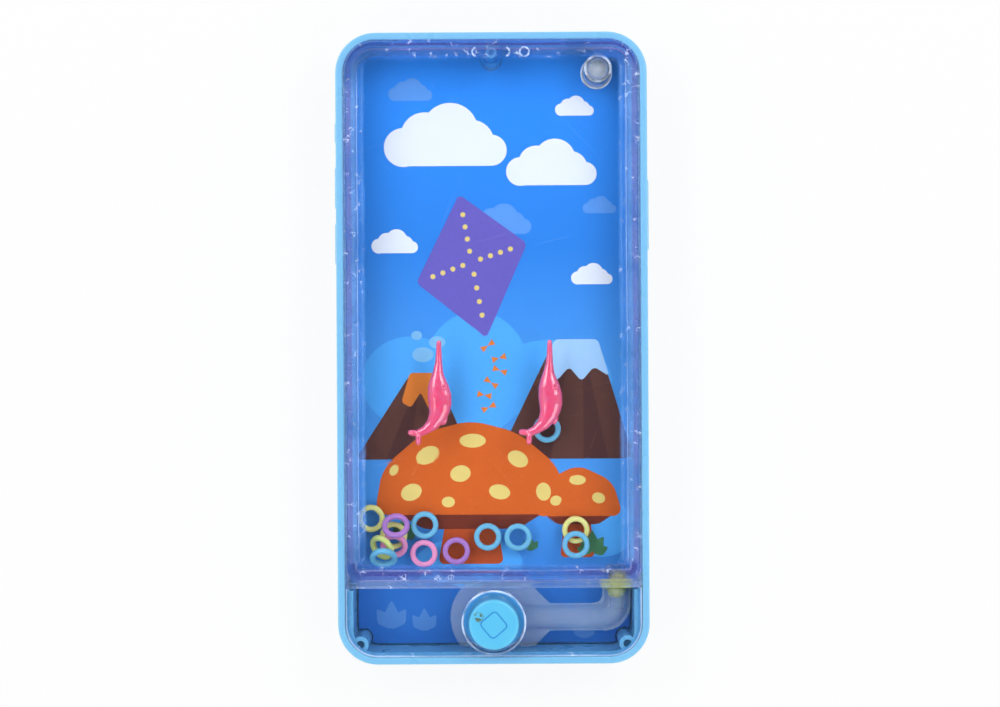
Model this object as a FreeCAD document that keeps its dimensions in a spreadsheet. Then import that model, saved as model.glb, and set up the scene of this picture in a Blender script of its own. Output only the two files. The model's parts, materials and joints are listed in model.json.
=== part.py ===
# Handheld water game in the shape of a phone.
# A clear front cover carries a water tank with two pegs and fourteen rings, and a pump
# button presses a bladder that blows water up through a nozzle. A coloured rear shell,
# closed by pins in posts, holds everything. It lies on its back: +Z is out of the
# front, +Y is the top of the game, and the origin is the middle of the back.
# All lengths are in millimetres.

import FreeCAD
import Part
import math
import os
import Sketcher

document = FreeCAD.newDocument("water_game")
sizes = document.addObject("Spreadsheet::Sheet", "sizes")

SIZES = {
    # rear shell
    "case_length": 150.0,
    "case_width": 74.0,
    "case_corner_radius": 9.5,
    "shell_height": 15.0,
    "shell_wall": 1.7,
    "shell_floor": 1.8,
    "back_edge_width": 2.0,
    "back_edge_softening_share": 0.4,
    "rim_edge_bevel": 0.4,
    "key_standout": 0.6,
    "key_thickness": 4.4,
    "key_middle_height": 8.2,
    "mute_key_length": 5.2,
    "volume_key_length": 10.2,
    "power_key_length": 17.3,
    "mute_key_place": 51.8,
    "volume_up_place": 38.6,
    "volume_down_place": 25.1,
    "power_key_place": 31.8,
    "card_rib_height": 0.8,
    "card_rib_width": 1.4,
    "card_rib_spacing": 24.0,
    "bay_rib_wall": 1.1,
    "bay_rib_side_gap": 0.8,
    "bay_rib_corner_radius": 6.5,
    "bay_rib_length": 15.8,
    "post_radius": 1.9,
    "post_side_inset": 5.3,
    "post_end_inset": 4.7,
    "pin_radius": 0.9,
    "pin_length": 6.0,
    "pin_fit": 0.05,
    "top_post_radius": 1.3,
    "top_pin_radius": 0.6,
    "top_post_inset": 4.9,
    # clear front cover with the tank
    "cover_gap": 0.2,
    "cover_thickness": 1.6,
    "cover_edge_bevel": 0.35,
    "tank_depth": 10.3,
    "tank_wall": 1.5,
    "tank_wall_inset": 0.4,
    "tank_foot_radius": 2.4,
    "pump_bay_length": 20.2,
    "bay_plate_drop": 0.8,
    "ridge_width": 1.4,
    "ridge_height": 0.7,
    "ridge_gap": 0.6,
    "top_boss_wall": 1.25,
    "post_clearance": 0.2,
    "collar_radius": 7.75,
    "collar_wall": 0.9,
    "collar_height": 1.6,
    # clear back plate of the tank
    "back_plate_thickness": 1.2,
    "spout_radius": 3.35,
    "spout_wall": 0.75,
    "spout_height": 7.5,
    "spout_side_inset": 11.5,
    "spout_end_inset": 8.4,
    "socket_height": 2.2,
    "socket_radius": 1.3,
    "socket_bore_radius": 0.7,
    "socket_bore_depth": 2.0,
    # printed card
    "card_thickness": 0.5,
    "card_edge_gap": 0.4,
    "card_post_gap": 0.3,
    # fill plug
    "plug_fit": 0.03,
    "plug_head_radius": 3.4,
    "plug_head_recess": 0.5,
    "plug_hole_gap": 0.3,
    "plug_stem_length": 7.2,
    "plug_grip_radius": 2.3,
    "plug_grip_depth": 1.2,
    # pump button
    "button_end_inset": 10.2,
    "button_radius": 6.3,
    "button_standout": 5.2,
    "button_flange_radius": 7.15,
    "button_flange_thickness": 1.2,
    "button_flange_gap": 0.2,
    "button_wall": 1.3,
    "button_edge_bevel": 0.45,
    "button_plunger_radius": 2.4,
    "button_mark_width": 4.1,
    "button_mark_radius": 1.1,
    "button_mark_line": 0.3,
    "button_mark_depth": 0.25,
    # pump bladder
    "pump_axis_height": 7.7,
    "bulb_radius": 6.9,
    "bulb_bevel": 2.0,
    "bulb_half_height": 4.3,
    "bladder_wall": 0.8,
    "seam_radius": 10.6,
    "seam_reach": 13.4,
    "seam_thickness": 0.8,
    "seam_end_gap": 0.3,
    "seam_tank_gap": 1.7,
    "duct_radius": 2.9,
    "duct_flat_share": 0.42,
    "duct_seam_width": 6.8,
    "elbow_radius": 4.4,
    "elbow_outer_radius": 6.4,
    "elbow_inner_radius": 2.0,
    "neck_side_inset": 7.5,
    # nozzle and seal between the bladder and the tank
    "nozzle_radius": 2.0,
    "nozzle_bore_radius": 1.3,
    "nozzle_jet_radius": 0.7,
    "nozzle_jet_length": 1.6,
    "nozzle_flange_radius": 2.9,
    "nozzle_flange_thickness": 0.8,
    "nozzle_reach": 5.2,
    "nozzle_fit": 0.05,
    "seal_thickness": 2.8,
    "seal_width": 7.6,
    "seal_height": 6.8,
    "seal_edge_radius": 0.9,
    # pegs
    "peg_length": 25.6,
    "peg_width": 5.9,
    "peg_thickness": 3.2,
    "peg_floor_gap": 3.6,
    "peg_tip_height": 55.2,
    "peg_left_place": 12.9,
    "peg_spacing": 26.6,
    "peg_stem_radius": 1.25,
    "peg_pin_radius": 0.65,
    "peg_pin_length_share": 0.9,
    # rings
    "ring_outer_diameter": 6.65,
    "ring_section": 1.35,
    "ring_bevel_share": 0.27,
    "ring_rest_gap": 0.02,
    # every cut runs this far past what it cuts
    "overrun": 2.0,
}

for row, (name, value) in enumerate(SIZES.items(), start=1):
    sizes.set(f"A{row}", name)
    sizes.set(f"B{row}", str(value))
    sizes.setAlias(f"B{row}", name)
document.recompute()


def size(text):
    """A length worked out from the sheet's names, written for an expression."""
    words = []
    for word in text.replace("(", " ( ").replace(")", " ) ").split():
        words.append(f"sizes.{word}" if word in SIZES else word)
    return "(" + " ".join(words) + ")"


def number(expression):
    """The value of an expression, in millimetres."""
    value = sizes.evalExpression(expression)
    return float(getattr(value, "Value", value))


# Places that several pieces share

HALF_WIDTH = size("case_width / 2")
HALF_LENGTH = size("case_length / 2")
INNER_WIDTH = size("case_width / 2 - shell_wall")
INNER_LENGTH = size("case_length / 2 - shell_wall")
INNER_RADIUS = size("case_corner_radius - shell_wall")
CARD_BOTTOM = size("shell_floor + card_rib_height")
CARD_TOP = size("shell_floor + card_rib_height + card_thickness")
TANK_FLOOR = size("shell_floor + card_rib_height + card_thickness + back_plate_thickness")
TANK_ROOF = f"({TANK_FLOOR} + sizes.tank_depth)"
FRONT = f"({TANK_ROOF} + sizes.cover_thickness)"
BAY_FRONT = f"({FRONT} - sizes.bay_plate_drop)"
BAY_ROOF = f"({BAY_FRONT} - sizes.cover_thickness)"
COVER_WIDTH = size("case_width / 2 - shell_wall - cover_gap")
COVER_LENGTH = size("case_length / 2 - shell_wall - cover_gap")
COVER_RADIUS = size("case_corner_radius - shell_wall - cover_gap")
TANK_WIDTH = f"({COVER_WIDTH} - sizes.tank_wall_inset)"
TANK_TOP = f"({COVER_LENGTH} - sizes.tank_wall_inset)"
TANK_RADIUS = f"({COVER_RADIUS} - sizes.tank_wall_inset)"
TANK_BOTTOM = size("pump_bay_length - case_length / 2")
WATER_WIDTH = f"({TANK_WIDTH} - sizes.tank_wall)"
WATER_TOP = f"({TANK_TOP} - sizes.tank_wall)"
WATER_RADIUS = f"({TANK_RADIUS} - sizes.tank_wall)"
WATER_BOTTOM = f"({TANK_BOTTOM} + sizes.tank_wall)"
WATER_FOOT_RADIUS = size("tank_foot_radius - tank_wall")
BAY_TOP = f"({TANK_BOTTOM} + sizes.tank_wall / 2)"
RIB_WIDTH = f"({INNER_WIDTH} - sizes.bay_rib_side_gap)"
RIB_TOP = size("bay_rib_length - case_length / 2 + shell_wall")
POST_X = size("case_width / 2 - post_side_inset")
POST_Y = size("post_end_inset - case_length / 2")
TOP_POST_Y = size("case_length / 2 - top_post_inset")
NOTCH = size("top_post_radius + post_clearance")
SPOUT_X = size("case_width / 2 - spout_side_inset")
SPOUT_Y = size("case_length / 2 - spout_end_inset")
PLUG_HOLE = size("plug_head_radius + plug_hole_gap")
BUTTON_Y = size("button_end_inset - case_length / 2")
COLLAR_BORE = size("collar_radius - collar_wall")
PUMP_Z = size("pump_axis_height")
NECK_X = size("case_width / 2 - neck_side_inset")
SEAL_BOTTOM = f"({TANK_BOTTOM} - sizes.seal_thickness)"
PEG_BASE = f"({TANK_FLOOR} + sizes.peg_floor_gap)"

# Cross ribs under the card, in rib spacings from the middle
CARD_RIB_SHARES = (-2.2, -1, 0, 1, 2)
# Degrees by which the square on the button's face is turned
MARK_TURN = 40

# Ways of drawing and cutting that every piece uses


def new_body(label):
    body = document.addObject("PartDesign::Body", label)
    body.Label = label
    return body


def new_sketch(body, role, offset="0 mm"):
    """A sketch on one of the body's own origin planes, raised by an offset."""
    plane = [p for p in body.Origin.OriginFeatures if p.Role == role][0]
    sketch = body.newObject("Sketcher::SketchObject", f"{body.Name}_sketch")
    sketch.AttachmentSupport = [(plane, "")]
    sketch.MapMode = "FlatFace"
    sketch.setExpression("AttachmentOffset.Base.z", offset)
    return sketch


def bind(sketch, kind, first, second, expression):
    """One horizontal or vertical distance from the origin, bound to the sheet."""
    value = number(expression)
    if value < 0:
        first, second = second, first
        expression = f"-({expression})"
    index = sketch.addConstraint(Sketcher.Constraint(kind, *first, *second, abs(value)))
    name = f"size_{index}"
    sketch.renameConstraint(index, name)
    sketch.setExpression(f"Constraints.{name}", expression)


def pin_point(sketch, point, x, y):
    """Holds a point of a sketch at the place that two expressions give."""
    origin = (-1, 1)
    for kind, straight, expression in (("DistanceX", "Vertical", x), ("DistanceY", "Horizontal", y)):
        if expression == "0":
            sketch.addConstraint(Sketcher.Constraint(straight, *origin, *point))
        else:
            bind(sketch, kind, origin, point, expression)


def bind_radius(sketch, index, expression):
    constraint = sketch.addConstraint(Sketcher.Constraint("Radius", index, number(expression)))
    name = f"radius_{constraint}"
    sketch.renameConstraint(constraint, name)
    sketch.setExpression(f"Constraints.{name}", expression)


def add_circle(sketch, radius, x="0", y="0"):
    centre = FreeCAD.Vector(number(x), number(y), 0)
    circle = Part.Circle(centre, FreeCAD.Vector(0, 0, 1), number(radius))
    index = sketch.addGeometry(circle, False)
    pin_point(sketch, (index, 3), x, y)
    bind_radius(sketch, index, radius)


def add_outline(sketch, corners):
    """A closed outline of straight runs. A corner with a third entry is rounded to that
    radius, where two runs meet at a right angle."""
    places = [(number(c[0]), number(c[1])) for c in corners]
    count = len(corners)
    runs = []
    for index, corner in enumerate(corners):
        after = places[(index + 1) % count]
        here = places[index]
        step = math.hypot(after[0] - here[0], after[1] - here[1])
        runs.append(((after[0] - here[0]) / step, (after[1] - here[1]) / step))
    points = []
    for index, corner in enumerate(corners):
        if len(corner) < 3:
            points.append([(corner[0], corner[1])])
            continue
        ends = []
        for run, sign in ((runs[index - 1], -1), (runs[index], 1)):
            x_step = round(run[0] * sign)
            y_step = round(run[1] * sign)
            x = f"({corner[0]} + {x_step} * {corner[2]})" if x_step else corner[0]
            y = f"({corner[1]} + {y_step} * {corner[2]})" if y_step else corner[1]
            ends.append((x, y))
        points.append(ends)

    def spot(pair):
        return FreeCAD.Vector(number(pair[0]), number(pair[1]), 0)

    lines = []
    for index in range(count):
        start = points[index][-1]
        end = points[(index + 1) % count][0]
        line = sketch.addGeometry(Part.LineSegment(spot(start), spot(end)), False)
        lines.append(line)
    for index, corner in enumerate(corners):
        before = lines[index - 1]
        after = lines[index]
        pin_point(sketch, (after, 1), *points[index][-1])
        if len(corner) < 3:
            sketch.addConstraint(Sketcher.Constraint("Coincident", before, 2, after, 1))
            continue
        pin_point(sketch, (before, 2), *points[index][0])
        arc = sketch.addGeometry(corner_arc(spot, points[index], corner, runs, index), False)
        turn = runs[index - 1][0] * runs[index][1] - runs[index - 1][1] * runs[index][0]
        start, end = (1, 2) if turn > 0 else (2, 1)
        sketch.addConstraint(Sketcher.Constraint("Coincident", before, 2, arc, start))
        sketch.addConstraint(Sketcher.Constraint("Coincident", after, 1, arc, end))
        bind_radius(sketch, arc, corner[2])


def corner_arc(spot, ends, corner, runs, index):
    """The quarter turn that rounds one corner of an outline."""
    radius = number(corner[2])
    start = spot(ends[0])
    end = spot(ends[1])
    corner_point = spot(corner)
    centre = start + end - corner_point
    middle = centre + (corner_point - centre).normalize() * radius
    return Part.Arc(start, middle, end)


def box_outline(left, right, bottom, top, bottom_radius=None, top_radius=None):
    """The four corners of an upright rectangle, with its lower and upper rounding."""
    lower = (bottom_radius,) if bottom_radius else ()
    upper = (top_radius,) if top_radius else ()
    return [
        (left, bottom, *lower),
        (right, bottom, *lower),
        (right, top, *upper),
        (left, top, *upper),
    ]


def across(half, bottom, top, bottom_radius=None, top_radius=None):
    """A rectangle as wide to the left of the middle as to the right."""
    return box_outline(f"(-{half})", half, bottom, top, bottom_radius, top_radius)


def finish_feature(body, feature, sketch, length, back):
    feature.Profile = sketch
    feature.setExpression("Length", length)
    feature.Reversed = back
    body.Tip = feature
    document.recompute()
    return feature


def pad(body, sketch, length, back=False):
    feature = body.newObject("PartDesign::Pad", f"{body.Name}_pad")
    return finish_feature(body, feature, sketch, length, back)


def pocket(body, sketch, length, back=False):
    """A pocket cuts against the sketch's normal, or along it when back is set. It must
    take something away."""
    before = body.Shape.Volume
    feature = body.newObject("PartDesign::Pocket", f"{body.Name}_pocket")
    finish_feature(body, feature, sketch, length, back)
    if body.Shape.Volume >= before:
        raise RuntimeError(f"a pocket of {body.Label} cuts nothing")
    return feature


def pad_shape(body, base, length, *outlines):
    sketch = new_sketch(body, "XY_Plane", base)
    for outline in outlines:
        add_outline(sketch, outline)
    return pad(body, sketch, length)


def pocket_shape(body, base, length, *outlines):
    """Cuts upwards from a height by a length."""
    sketch = new_sketch(body, "XY_Plane", base)
    for outline in outlines:
        add_outline(sketch, outline)
    return pocket(body, sketch, length, True)


def pad_round(body, base, length, radius, x="0", y="0"):
    sketch = new_sketch(body, "XY_Plane", base)
    add_circle(sketch, radius, x, y)
    return pad(body, sketch, length)


def pocket_round(body, base, length, radius, x="0", y="0"):
    sketch = new_sketch(body, "XY_Plane", base)
    add_circle(sketch, radius, x, y)
    return pocket(body, sketch, length, True)


def revolve(body, corners):
    """Turns an outline of (radius, height) points about the body's own Z axis."""
    sketch = new_sketch(body, "XZ_Plane")
    add_outline(sketch, corners)
    feature = body.newObject("PartDesign::Revolution", f"{body.Name}_revolution")
    feature.Profile = sketch
    feature.ReferenceAxis = (sketch, ["V_Axis"])
    feature.Angle = 360.0
    body.Tip = feature
    document.recompute()
    return feature


def bevel_edges(body, width, wanted):
    """Bevels the edges of the body that a test picks by their place."""
    base = body.Tip
    names = []
    for index, edge in enumerate(base.Shape.Edges, start=1):
        if wanted(edge.BoundBox):
            names.append(f"Edge{index}")
    feature = body.newObject("PartDesign::Chamfer", f"{body.Name}_bevel")
    feature.Base = (base, names)
    feature.setExpression("Size", width)
    body.Tip = feature
    document.recompute()
    return feature


def level(box, expression):
    """Whether an edge lies flat at a height."""
    height = number(expression)
    return round(box.ZMin - height, 4) == 0 and round(box.ZMax - height, 4) == 0


def place_body(body, x="0", y="0", z="0", turn=None):
    """Puts a piece that is drawn about its own origin where it belongs."""
    if turn:
        body.Placement = FreeCAD.Placement(FreeCAD.Vector(0, 0, 0), turn)
    for axis, expression in (("x", x), ("y", y), ("z", z)):
        if expression != "0":
            body.setExpression(f"Placement.Base.{axis}", f"{expression} * 1 mm")
    document.recompute()


# Rear shell: a tray with side keys, ribs under the card, a rib round the pump bay,
# three hollow posts and a hole to reach the fill plug


def make_rear_shell():
    body = new_body("rear_shell")
    radius = size("case_corner_radius")
    pad_shape(body, "0 mm", size("shell_height"),
              across(HALF_WIDTH, f"(-{HALF_LENGTH})", HALF_LENGTH, radius, radius))
    back = size("back_edge_width")
    bevel_edges(body, back, lambda box: level(box, "0"))
    bevel_edges(body, size("back_edge_width * back_edge_softening_share"),
                lambda box: level(box, "0") or level(box, back))
    pocket_shape(body, size("shell_floor"), size("shell_height + overrun"),
                 across(INNER_WIDTH, f"(-{INNER_LENGTH})", INNER_LENGTH, INNER_RADIUS, INNER_RADIUS))
    rim = size("shell_height")
    bevel_edges(body, size("rim_edge_bevel"), lambda box: level(box, rim))

    # The rib is a block with its middle taken out, so it stays a wall on three sides
    rib_height = f"({BAY_ROOF} - sizes.shell_floor)"
    rib_radius = size("bay_rib_corner_radius")
    pad_shape(body, size("shell_floor"), rib_height,
              across(RIB_WIDTH, f"(-{INNER_LENGTH})", RIB_TOP, rib_radius))
    inside = f"({RIB_WIDTH} - sizes.bay_rib_wall)"
    floor_edge = f"(sizes.bay_rib_wall - {INNER_LENGTH})"
    past = f"({RIB_TOP} + sizes.overrun)"
    pocket_shape(body, size("shell_floor"), f"({rib_height} + sizes.overrun)",
                 across(inside, floor_edge, past, size("bay_rib_corner_radius - bay_rib_wall")))

    # Cross ribs hold the card off the floor
    rib_half = size("card_rib_width / 2")
    for rib_share in CARD_RIB_SHARES:
        middle = f"({rib_share} * sizes.card_rib_spacing)"
        pad_shape(body, size("shell_floor"), size("card_rib_height"),
                  across(INNER_WIDTH, f"({middle} - {rib_half})", f"({middle} + {rib_half})"))

    add_posts(body)
    pocket_round(body, "0 mm", CARD_BOTTOM, PLUG_HOLE, SPOUT_X, SPOUT_Y)
    add_keys(body)
    return body


def add_posts(body):
    """Two posts in the bottom corners and a thinner one in the top's middle, each bored
    for a pin of the cover."""
    posts = (
        (POST_X, POST_Y, size("post_radius"), size("pin_radius"), BAY_ROOF),
        (f"(-{POST_X})", POST_Y, size("post_radius"), size("pin_radius"), BAY_ROOF),
        ("0", TOP_POST_Y, size("top_post_radius"), size("top_pin_radius"), TANK_ROOF),
    )
    for x, y, radius, pin, roof in posts:
        top = f"({roof} - sizes.post_clearance)"
        pad_round(body, size("shell_floor"), f"({top} - sizes.shell_floor)", radius, x, y)
        depth = size("pin_length + pin_fit")
        pocket_round(body, f"({roof} - {depth})", f"({depth} + sizes.overrun)",
                     f"({pin} + sizes.pin_fit)", x, y)


def add_keys(body):
    """The keys at the sides of a phone, moulded in one with the shell."""
    half_thick = size("key_thickness / 2")
    low = f"(sizes.key_middle_height - {half_thick})"
    high = f"(sizes.key_middle_height + {half_thick})"
    corner = f"({half_thick} / 2)"
    reach = size("key_standout + shell_wall / 2")
    start = size("case_width / 2 - shell_wall / 2")
    keys = (
        ("mute_key_place", "mute_key_length", True),
        ("volume_up_place", "volume_key_length", True),
        ("volume_down_place", "volume_key_length", True),
        ("power_key_place", "power_key_length", False),
    )
    for place, length, on_left in keys:
        offset = f"(-{start})" if on_left else start
        sketch = new_sketch(body, "YZ_Plane", offset)
        near = size(f"{place} - {length} / 2")
        far = size(f"{place} + {length} / 2")
        add_outline(sketch, box_outline(near, far, low, high, corner, corner))
        pad(body, sketch, reach, on_left)


# Front cover: one clear moulding with the tank's walls, a lower plate over the pump
# bay, a ridge between the two, the button's collar and the three pins


def make_front_cover():
    body = new_body("front_cover")
    foot = size("tank_foot_radius")
    pad_shape(body, TANK_ROOF, size("cover_thickness"),
              across(COVER_WIDTH, TANK_BOTTOM, COVER_LENGTH, foot, COVER_RADIUS))
    bevel = size("cover_edge_bevel")
    bevel_edges(body, bevel, lambda box: level(box, FRONT))
    pad_shape(body, BAY_ROOF, size("cover_thickness"),
              across(COVER_WIDTH, f"(-{COVER_LENGTH})", BAY_TOP, COVER_RADIUS))
    joint = number(TANK_BOTTOM)
    bevel_edges(body, bevel, lambda box: level(box, BAY_FRONT) and box.YMin < joint - number(foot))

    pad_shape(body, TANK_FLOOR, size("tank_depth"),
              across(TANK_WIDTH, TANK_BOTTOM, TANK_TOP, foot, TANK_RADIUS),
              across(WATER_WIDTH, WATER_BOTTOM, WATER_TOP, WATER_FOOT_RADIUS, WATER_RADIUS))

    # The top wall goes round the shell's post in a small bay of its own
    boss = f"({NOTCH} + sizes.top_boss_wall)"
    inside_wall = f"({TANK_TOP} - sizes.tank_wall / 2)"
    pad_shape(body, TANK_FLOOR, size("tank_depth"), across(boss, TOP_POST_Y, inside_wall))
    pad_round(body, TANK_FLOOR, size("tank_depth"), boss, "0", TOP_POST_Y)
    pocket_shape(body, TANK_FLOOR, size("tank_depth"),
                 across(NOTCH, TOP_POST_Y, f"({TANK_TOP} + sizes.overrun)"))
    pocket_round(body, TANK_FLOOR, size("tank_depth"), NOTCH, "0", TOP_POST_Y)

    ridge_top = f"({TANK_BOTTOM} - sizes.ridge_gap)"
    pad_shape(body, BAY_FRONT, size("ridge_height"),
              across(TANK_WIDTH, f"({ridge_top} - sizes.ridge_width)", ridge_top))
    pad_round(body, BAY_FRONT, size("collar_height"), size("collar_radius"), "0", BUTTON_Y)
    pocket_round(body, BAY_ROOF, size("cover_thickness + collar_height + overrun"),
                 COLLAR_BORE, "0", BUTTON_Y)

    pins = (
        (POST_X, POST_Y, size("pin_radius"), BAY_ROOF),
        (f"(-{POST_X})", POST_Y, size("pin_radius"), BAY_ROOF),
        ("0", TOP_POST_Y, size("top_pin_radius"), TANK_ROOF),
    )
    for x, y, radius, roof in pins:
        pad_round(body, f"({roof} - sizes.pin_length)", size("pin_length"), radius, x, y)

    # The nozzle's hole through the tank's bottom wall
    sketch = new_sketch(body, "XZ_Plane", f"(-({WATER_BOTTOM} + sizes.overrun))")
    add_circle(sketch, size("nozzle_radius + nozzle_fit"), NECK_X, PUMP_Z)
    pocket(body, sketch, size("tank_wall + overrun + overrun"), True)
    return body


# Back plate of the tank, with the fill spout and the sockets of the pegs


def make_tank_back_plate():
    body = new_body("tank_back_plate")
    foot = size("tank_foot_radius")
    pad_shape(body, CARD_TOP, size("back_plate_thickness"),
              across(TANK_WIDTH, TANK_BOTTOM, TANK_TOP, foot, TANK_RADIUS))
    cut_post_notch(body, CARD_TOP, size("back_plate_thickness + overrun"))
    pad_round(body, TANK_FLOOR, size("spout_height"), size("spout_radius"), SPOUT_X, SPOUT_Y)
    pocket_round(body, CARD_TOP, size("back_plate_thickness + spout_height + overrun"),
                 size("spout_radius - spout_wall"), SPOUT_X, SPOUT_Y)
    for x, y in peg_stem_places():
        pad_round(body, TANK_FLOOR, size("socket_height"), size("socket_radius"), x, y)
        bottom = f"({TANK_FLOOR} + sizes.socket_height - sizes.socket_bore_depth)"
        pocket_round(body, bottom, size("socket_bore_depth + overrun"), size("socket_bore_radius"), x, y)
    return body


def cut_post_notch(body, base, length):
    """Leaves room for the shell's top post in a flat piece."""
    top = f"({TANK_TOP} + sizes.overrun)"
    pocket_shape(body, base, length, across(NOTCH, TOP_POST_Y, top))
    pocket_round(body, base, length, NOTCH, "0", TOP_POST_Y)


# Printed card: as wide as the tank above, and narrower inside the rib of the pump bay


def make_backing_card():
    body = new_body("backing_card")
    gap = "sizes.card_edge_gap"
    thick = size("card_thickness")
    step = f"({RIB_TOP} + {gap})"
    pad_shape(body, CARD_BOTTOM, thick,
              across(f"({INNER_WIDTH} - {gap})", step, f"({INNER_LENGTH} - {gap})",
                     None, f"({INNER_RADIUS} - {gap})"))
    narrow = f"({RIB_WIDTH} - sizes.bay_rib_wall - {gap})"
    radius = f"(sizes.bay_rib_corner_radius - sizes.bay_rib_wall - {gap})"
    low = f"(sizes.bay_rib_wall + {gap} - {INNER_LENGTH})"
    pad_shape(body, CARD_BOTTOM, thick, across(narrow, low, f"({step} + {gap})", radius))
    room = size("post_radius + card_post_gap")
    cut = f"({thick} + sizes.overrun)"
    pocket_round(body, CARD_BOTTOM, cut, room, POST_X, POST_Y)
    pocket_round(body, CARD_BOTTOM, cut, room, f"(-{POST_X})", POST_Y)
    cut_post_notch(body, CARD_BOTTOM, cut)
    pocket_round(body, CARD_BOTTOM, cut, PLUG_HOLE, SPOUT_X, SPOUT_Y)
    return body


# Fill plug: a soft stopper pushed into the spout from behind


def make_fill_plug():
    body = new_body("fill_plug")
    stem = size("spout_radius - spout_wall - plug_fit")
    low = size("plug_head_recess")
    top = f"({CARD_TOP} + sizes.plug_stem_length)"
    revolve(body, [
        ("0", f"({low} + sizes.plug_grip_depth)"),
        (size("plug_grip_radius"), f"({low} + sizes.plug_grip_depth)"),
        (size("plug_grip_radius"), low),
        (size("plug_head_radius"), low),
        (size("plug_head_radius"), CARD_TOP),
        (stem, CARD_TOP),
        (stem, top),
        ("0", top),
    ])
    place_body(body, SPOUT_X, SPOUT_Y)
    return body


# Pump button: a hollow cap with a flange that the cover holds in, and a plunger


def make_pump_button():
    body = new_body("pump_button")
    flange_top = f"({BAY_ROOF} - sizes.button_flange_gap)"
    flange_low = f"({flange_top} - sizes.button_flange_thickness)"
    top = f"({BAY_FRONT} + sizes.button_standout)"
    inside_top = f"({top} - sizes.button_wall)"
    bore = size("button_radius - button_wall")
    revolve(body, [
        ("0", flange_low),
        (size("button_plunger_radius"), flange_low),
        (size("button_plunger_radius"), inside_top),
        (bore, inside_top),
        (bore, flange_low),
        (size("button_flange_radius"), flange_low),
        (size("button_flange_radius"), flange_top),
        (size("button_radius"), flange_top),
        (size("button_radius"), top),
        ("0", top),
    ])
    bevel_edges(body, size("button_edge_bevel"),
                lambda box: level(box, top) and box.XMax > number(bore))

    # The rounded square on the face nearly stands on one corner
    half = size("button_mark_width / 2")
    inner = size("button_mark_width / 2 - button_mark_line")
    corner = size("button_mark_radius")
    inner_corner = size("button_mark_radius - button_mark_line")
    pocket_shape(body, f"({top} - sizes.button_mark_depth)", size("button_mark_depth + overrun"),
                 across(half, f"(-{half})", half, corner, corner),
                 across(inner, f"(-{inner})", inner, inner_corner, inner_corner))
    turn = FreeCAD.Rotation(FreeCAD.Vector(0, 0, 1), MARK_TURN)
    place_body(body, "0", BUTTON_Y, "0", turn)
    return body


# Pump bladder: a blown bulb, duct, elbow and neck, with a flat seam all round. The
# seam is a disc cut off straight above and below, then a shape that narrows to the duct.

BULB_SIDES = 20
ALONG_Y = FreeCAD.Rotation(FreeCAD.Vector(1, 0, 0), -90)


def make_pump_bladder():
    body = new_body("pump_bladder")
    thick = size("seam_thickness")
    low = f"({PUMP_Z} - {thick} / 2)"
    seam_low = f"(sizes.bay_rib_wall + sizes.seam_end_gap - {INNER_LENGTH})"
    seam_high = f"({TANK_BOTTOM} - sizes.seam_tank_gap)"
    disc = size("seam_radius")
    pad_round(body, low, thick, disc, "0", BUTTON_Y)
    past = f"({disc} + sizes.overrun)"
    for near, far in ((f"({BUTTON_Y} - {past})", seam_low), (seam_high, f"({BUTTON_Y} + {past})")):
        pocket_shape(body, low, thick, across(past, near, far))

    half = size("duct_seam_width / 2")
    duct_low = f"({BUTTON_Y} - {half})"
    duct_high = f"({BUTTON_Y} + {half})"
    reach = size("seam_reach")
    pad_shape(body, low, thick, [
        ("0", seam_low),
        (f"({reach} - {duct_low} + {seam_low})", seam_low),
        (reach, duct_low),
        (f"({NECK_X} + {half})", duct_low, size("elbow_outer_radius")),
        (f"({NECK_X} + {half})", SEAL_BOTTOM),
        (f"({NECK_X} - {half})", SEAL_BOTTOM),
        (f"({NECK_X} - {half})", duct_high, size("elbow_inner_radius")),
        (reach, duct_high),
        (f"({reach} + {duct_high} - {seam_high})", seam_high),
        ("0", seam_high),
    ])

    blow_bladder(body, "0", False)
    blow_bladder(body, "sizes.bladder_wall", True)
    sketch = new_sketch(body, "XZ_Plane", f"(-{SEAL_BOTTOM})")
    add_circle(sketch, size("nozzle_radius + nozzle_fit"), NECK_X, PUMP_Z)
    pocket(body, sketch, size("nozzle_reach"), True)
    return body


def many_sides(radius, sides, y):
    """The corners of an upright figure of equal sides about a place on the middle line."""
    corners = []
    for step in range(sides):
        turn = 2 * math.pi * (step + 0.5) / sides
        corners.append((f"({radius} * {math.cos(turn):.6f})", f"({y} + {radius} * {math.sin(turn):.6f})"))
    return corners


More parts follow.
